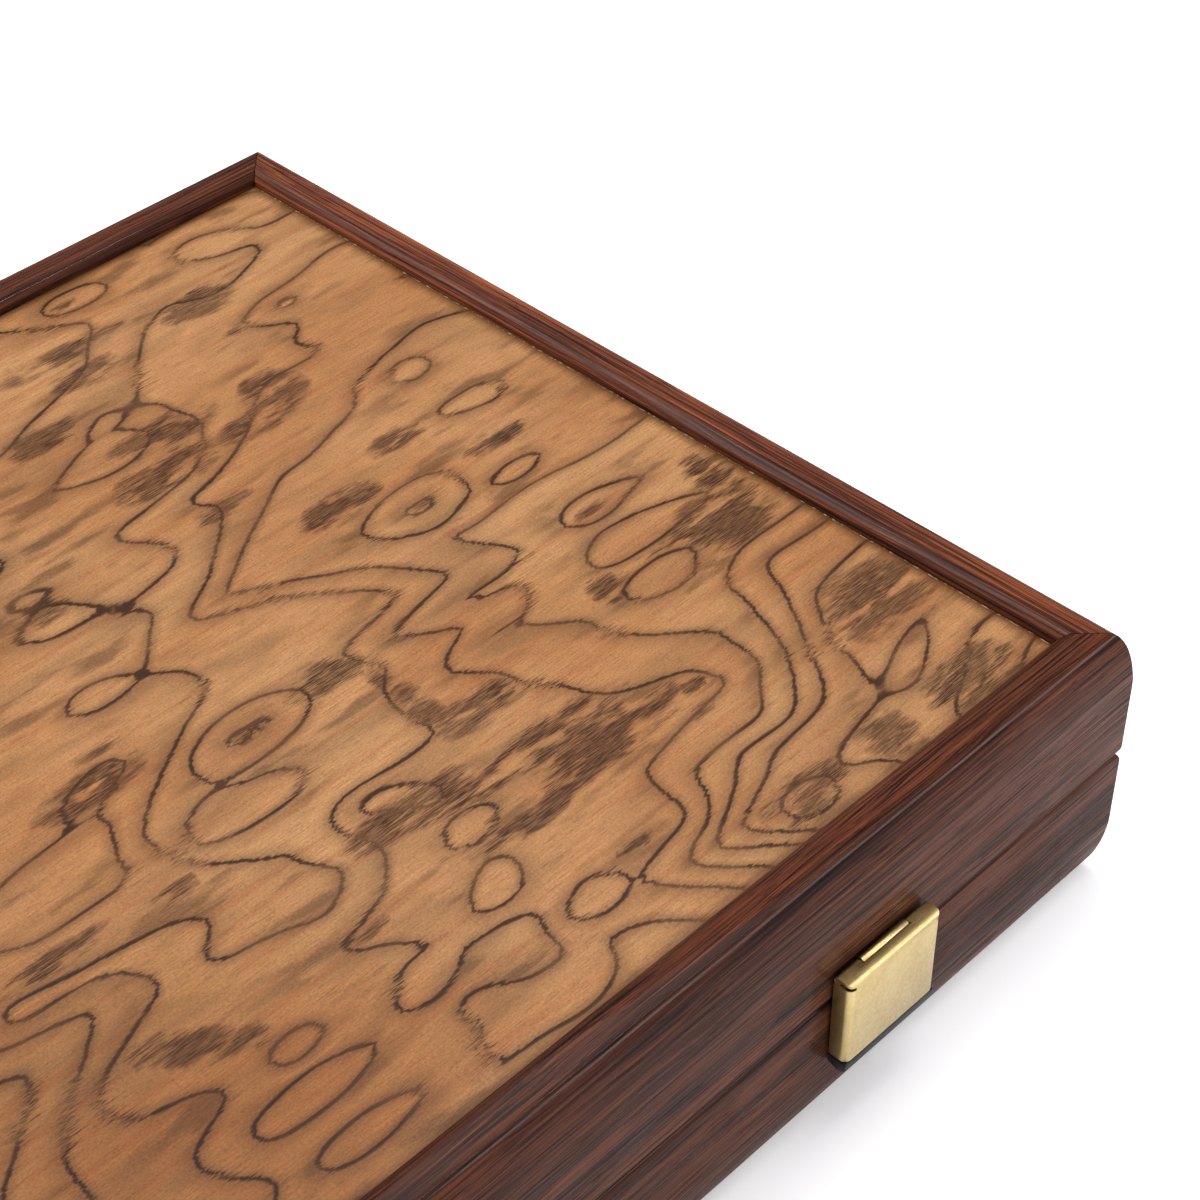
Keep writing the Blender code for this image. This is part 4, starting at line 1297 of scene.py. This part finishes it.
studio = {
    'floorSize': 8.0,
    'floorColour': (0.95, 0.95, 0.96, 1),
    'floorGlow': (0.18, 1.0), 'glowReach': (0.5, 2.6),
    'skyTint': (0.95, 0.94, 1.0), 'skyDim': 0.3, 'skyBright': 1.07, 'skyEdge': (0.10, 0.45),
    'lightsLookAt': (0.08, 0, 0.03),
    'lights': {
        'keySoftbox': {'place': (-0.55, 1.1, 1.5), 'size': (1.5, 1.1), 'power': 36, 'tint': (1, 0.985, 0.96)},
        'topSoftbox': {'place': (0.45, 0.1, 1.4), 'size': (1.0, 1.0), 'power': 14, 'tint': (1, 1, 1)},
        'rightStrip': {'place': (1.05, -1.35, 0.85), 'size': (0.8, 0.35), 'power': 11, 'tint': (1, 1, 1)},
        'shoulderStrip': {'place': (0.62, -0.62, 1.1), 'size': (0.7, 0.02), 'power': 2.8, 'tint': (1, 1, 1)},
    },
}


def makeFloor():
    deselect()
    bpy.ops.mesh.primitive_plane_add(size=studio['floorSize'])
    floor = bpy.context.object
    floor.name = 'floor'
    material, tree, sockets, place = newMaterial('paleFloor', Roughness=0.8, Specular_IOR_Level=0.1)
    sockets['Base Color'].default_value = studio['floorColour']
    distance = vectorCalc(tree, 'LENGTH', place, socket='Value')
    glow = remap(tree, distance, *studio['glowReach'], *studio['floorGlow'])
    plug(tree, sockets['Emission Color'], joinVector(tree, glow, glow, glow))
    sockets['Emission Strength'].default_value = 1
    paint(floor, material)


def makeWorld():
    # bright round the horizon and below it, dim overhead
    world = bpy.data.worlds.new('studio')
    world.use_nodes = True
    tree = world.node_tree
    direction = tree.nodes.new('ShaderNodeTexCoord').outputs['Generated']
    height = splitVector(tree, direction)[2]
    strength = remap(tree, height, *studio['skyEdge'], studio['skyBright'], studio['skyDim'])
    background = tree.nodes['Background']
    background.inputs['Color'].default_value = (*studio['skyTint'], 1)
    plug(tree, background.inputs['Strength'], strength)
    bpy.context.scene.world = world


def makeLights():
    target = Vector(studio['lightsLookAt'])
    for name, look in studio['lights'].items():
        bpy.ops.object.light_add(type='AREA', location=look['place'])
        lamp = bpy.context.object
        lamp.name = name
        lamp.data.shape = 'RECTANGLE'
        lamp.data.size, lamp.data.size_y = look['size']
        lamp.data.energy = look['power']
        lamp.data.color = look['tint']
        lamp.rotation_euler = (target - lamp.location).to_track_quat('-Z', 'Y').to_euler()


def makeCamera():
    bpy.ops.object.camera_add()
    camera = bpy.context.object
    camera.name = 'photoCamera'
    camera.data.lens = cameraLook['lens']
    camera.data.sensor_width = cameraLook['sensor']
    camera.data.clip_start, camera.data.clip_end = 0.01, 50
    camera.matrix_world = (Matrix.Translation(cameraLook['place'])
                           @ Matrix.Rotation(-math.radians(cameraLook['azimuth']), 4, 'Z')
                           @ Matrix.Rotation(math.radians(90 - cameraLook['elevation']), 4, 'X')
                           @ Matrix.Rotation(math.radians(cameraLook['roll']), 4, 'Z'))
    bpy.context.scene.camera = camera


makeFloor()
makeWorld()
makeLights()
makeCamera()
bpy.context.scene.view_settings.view_transform = 'Standard'
print('studio set')
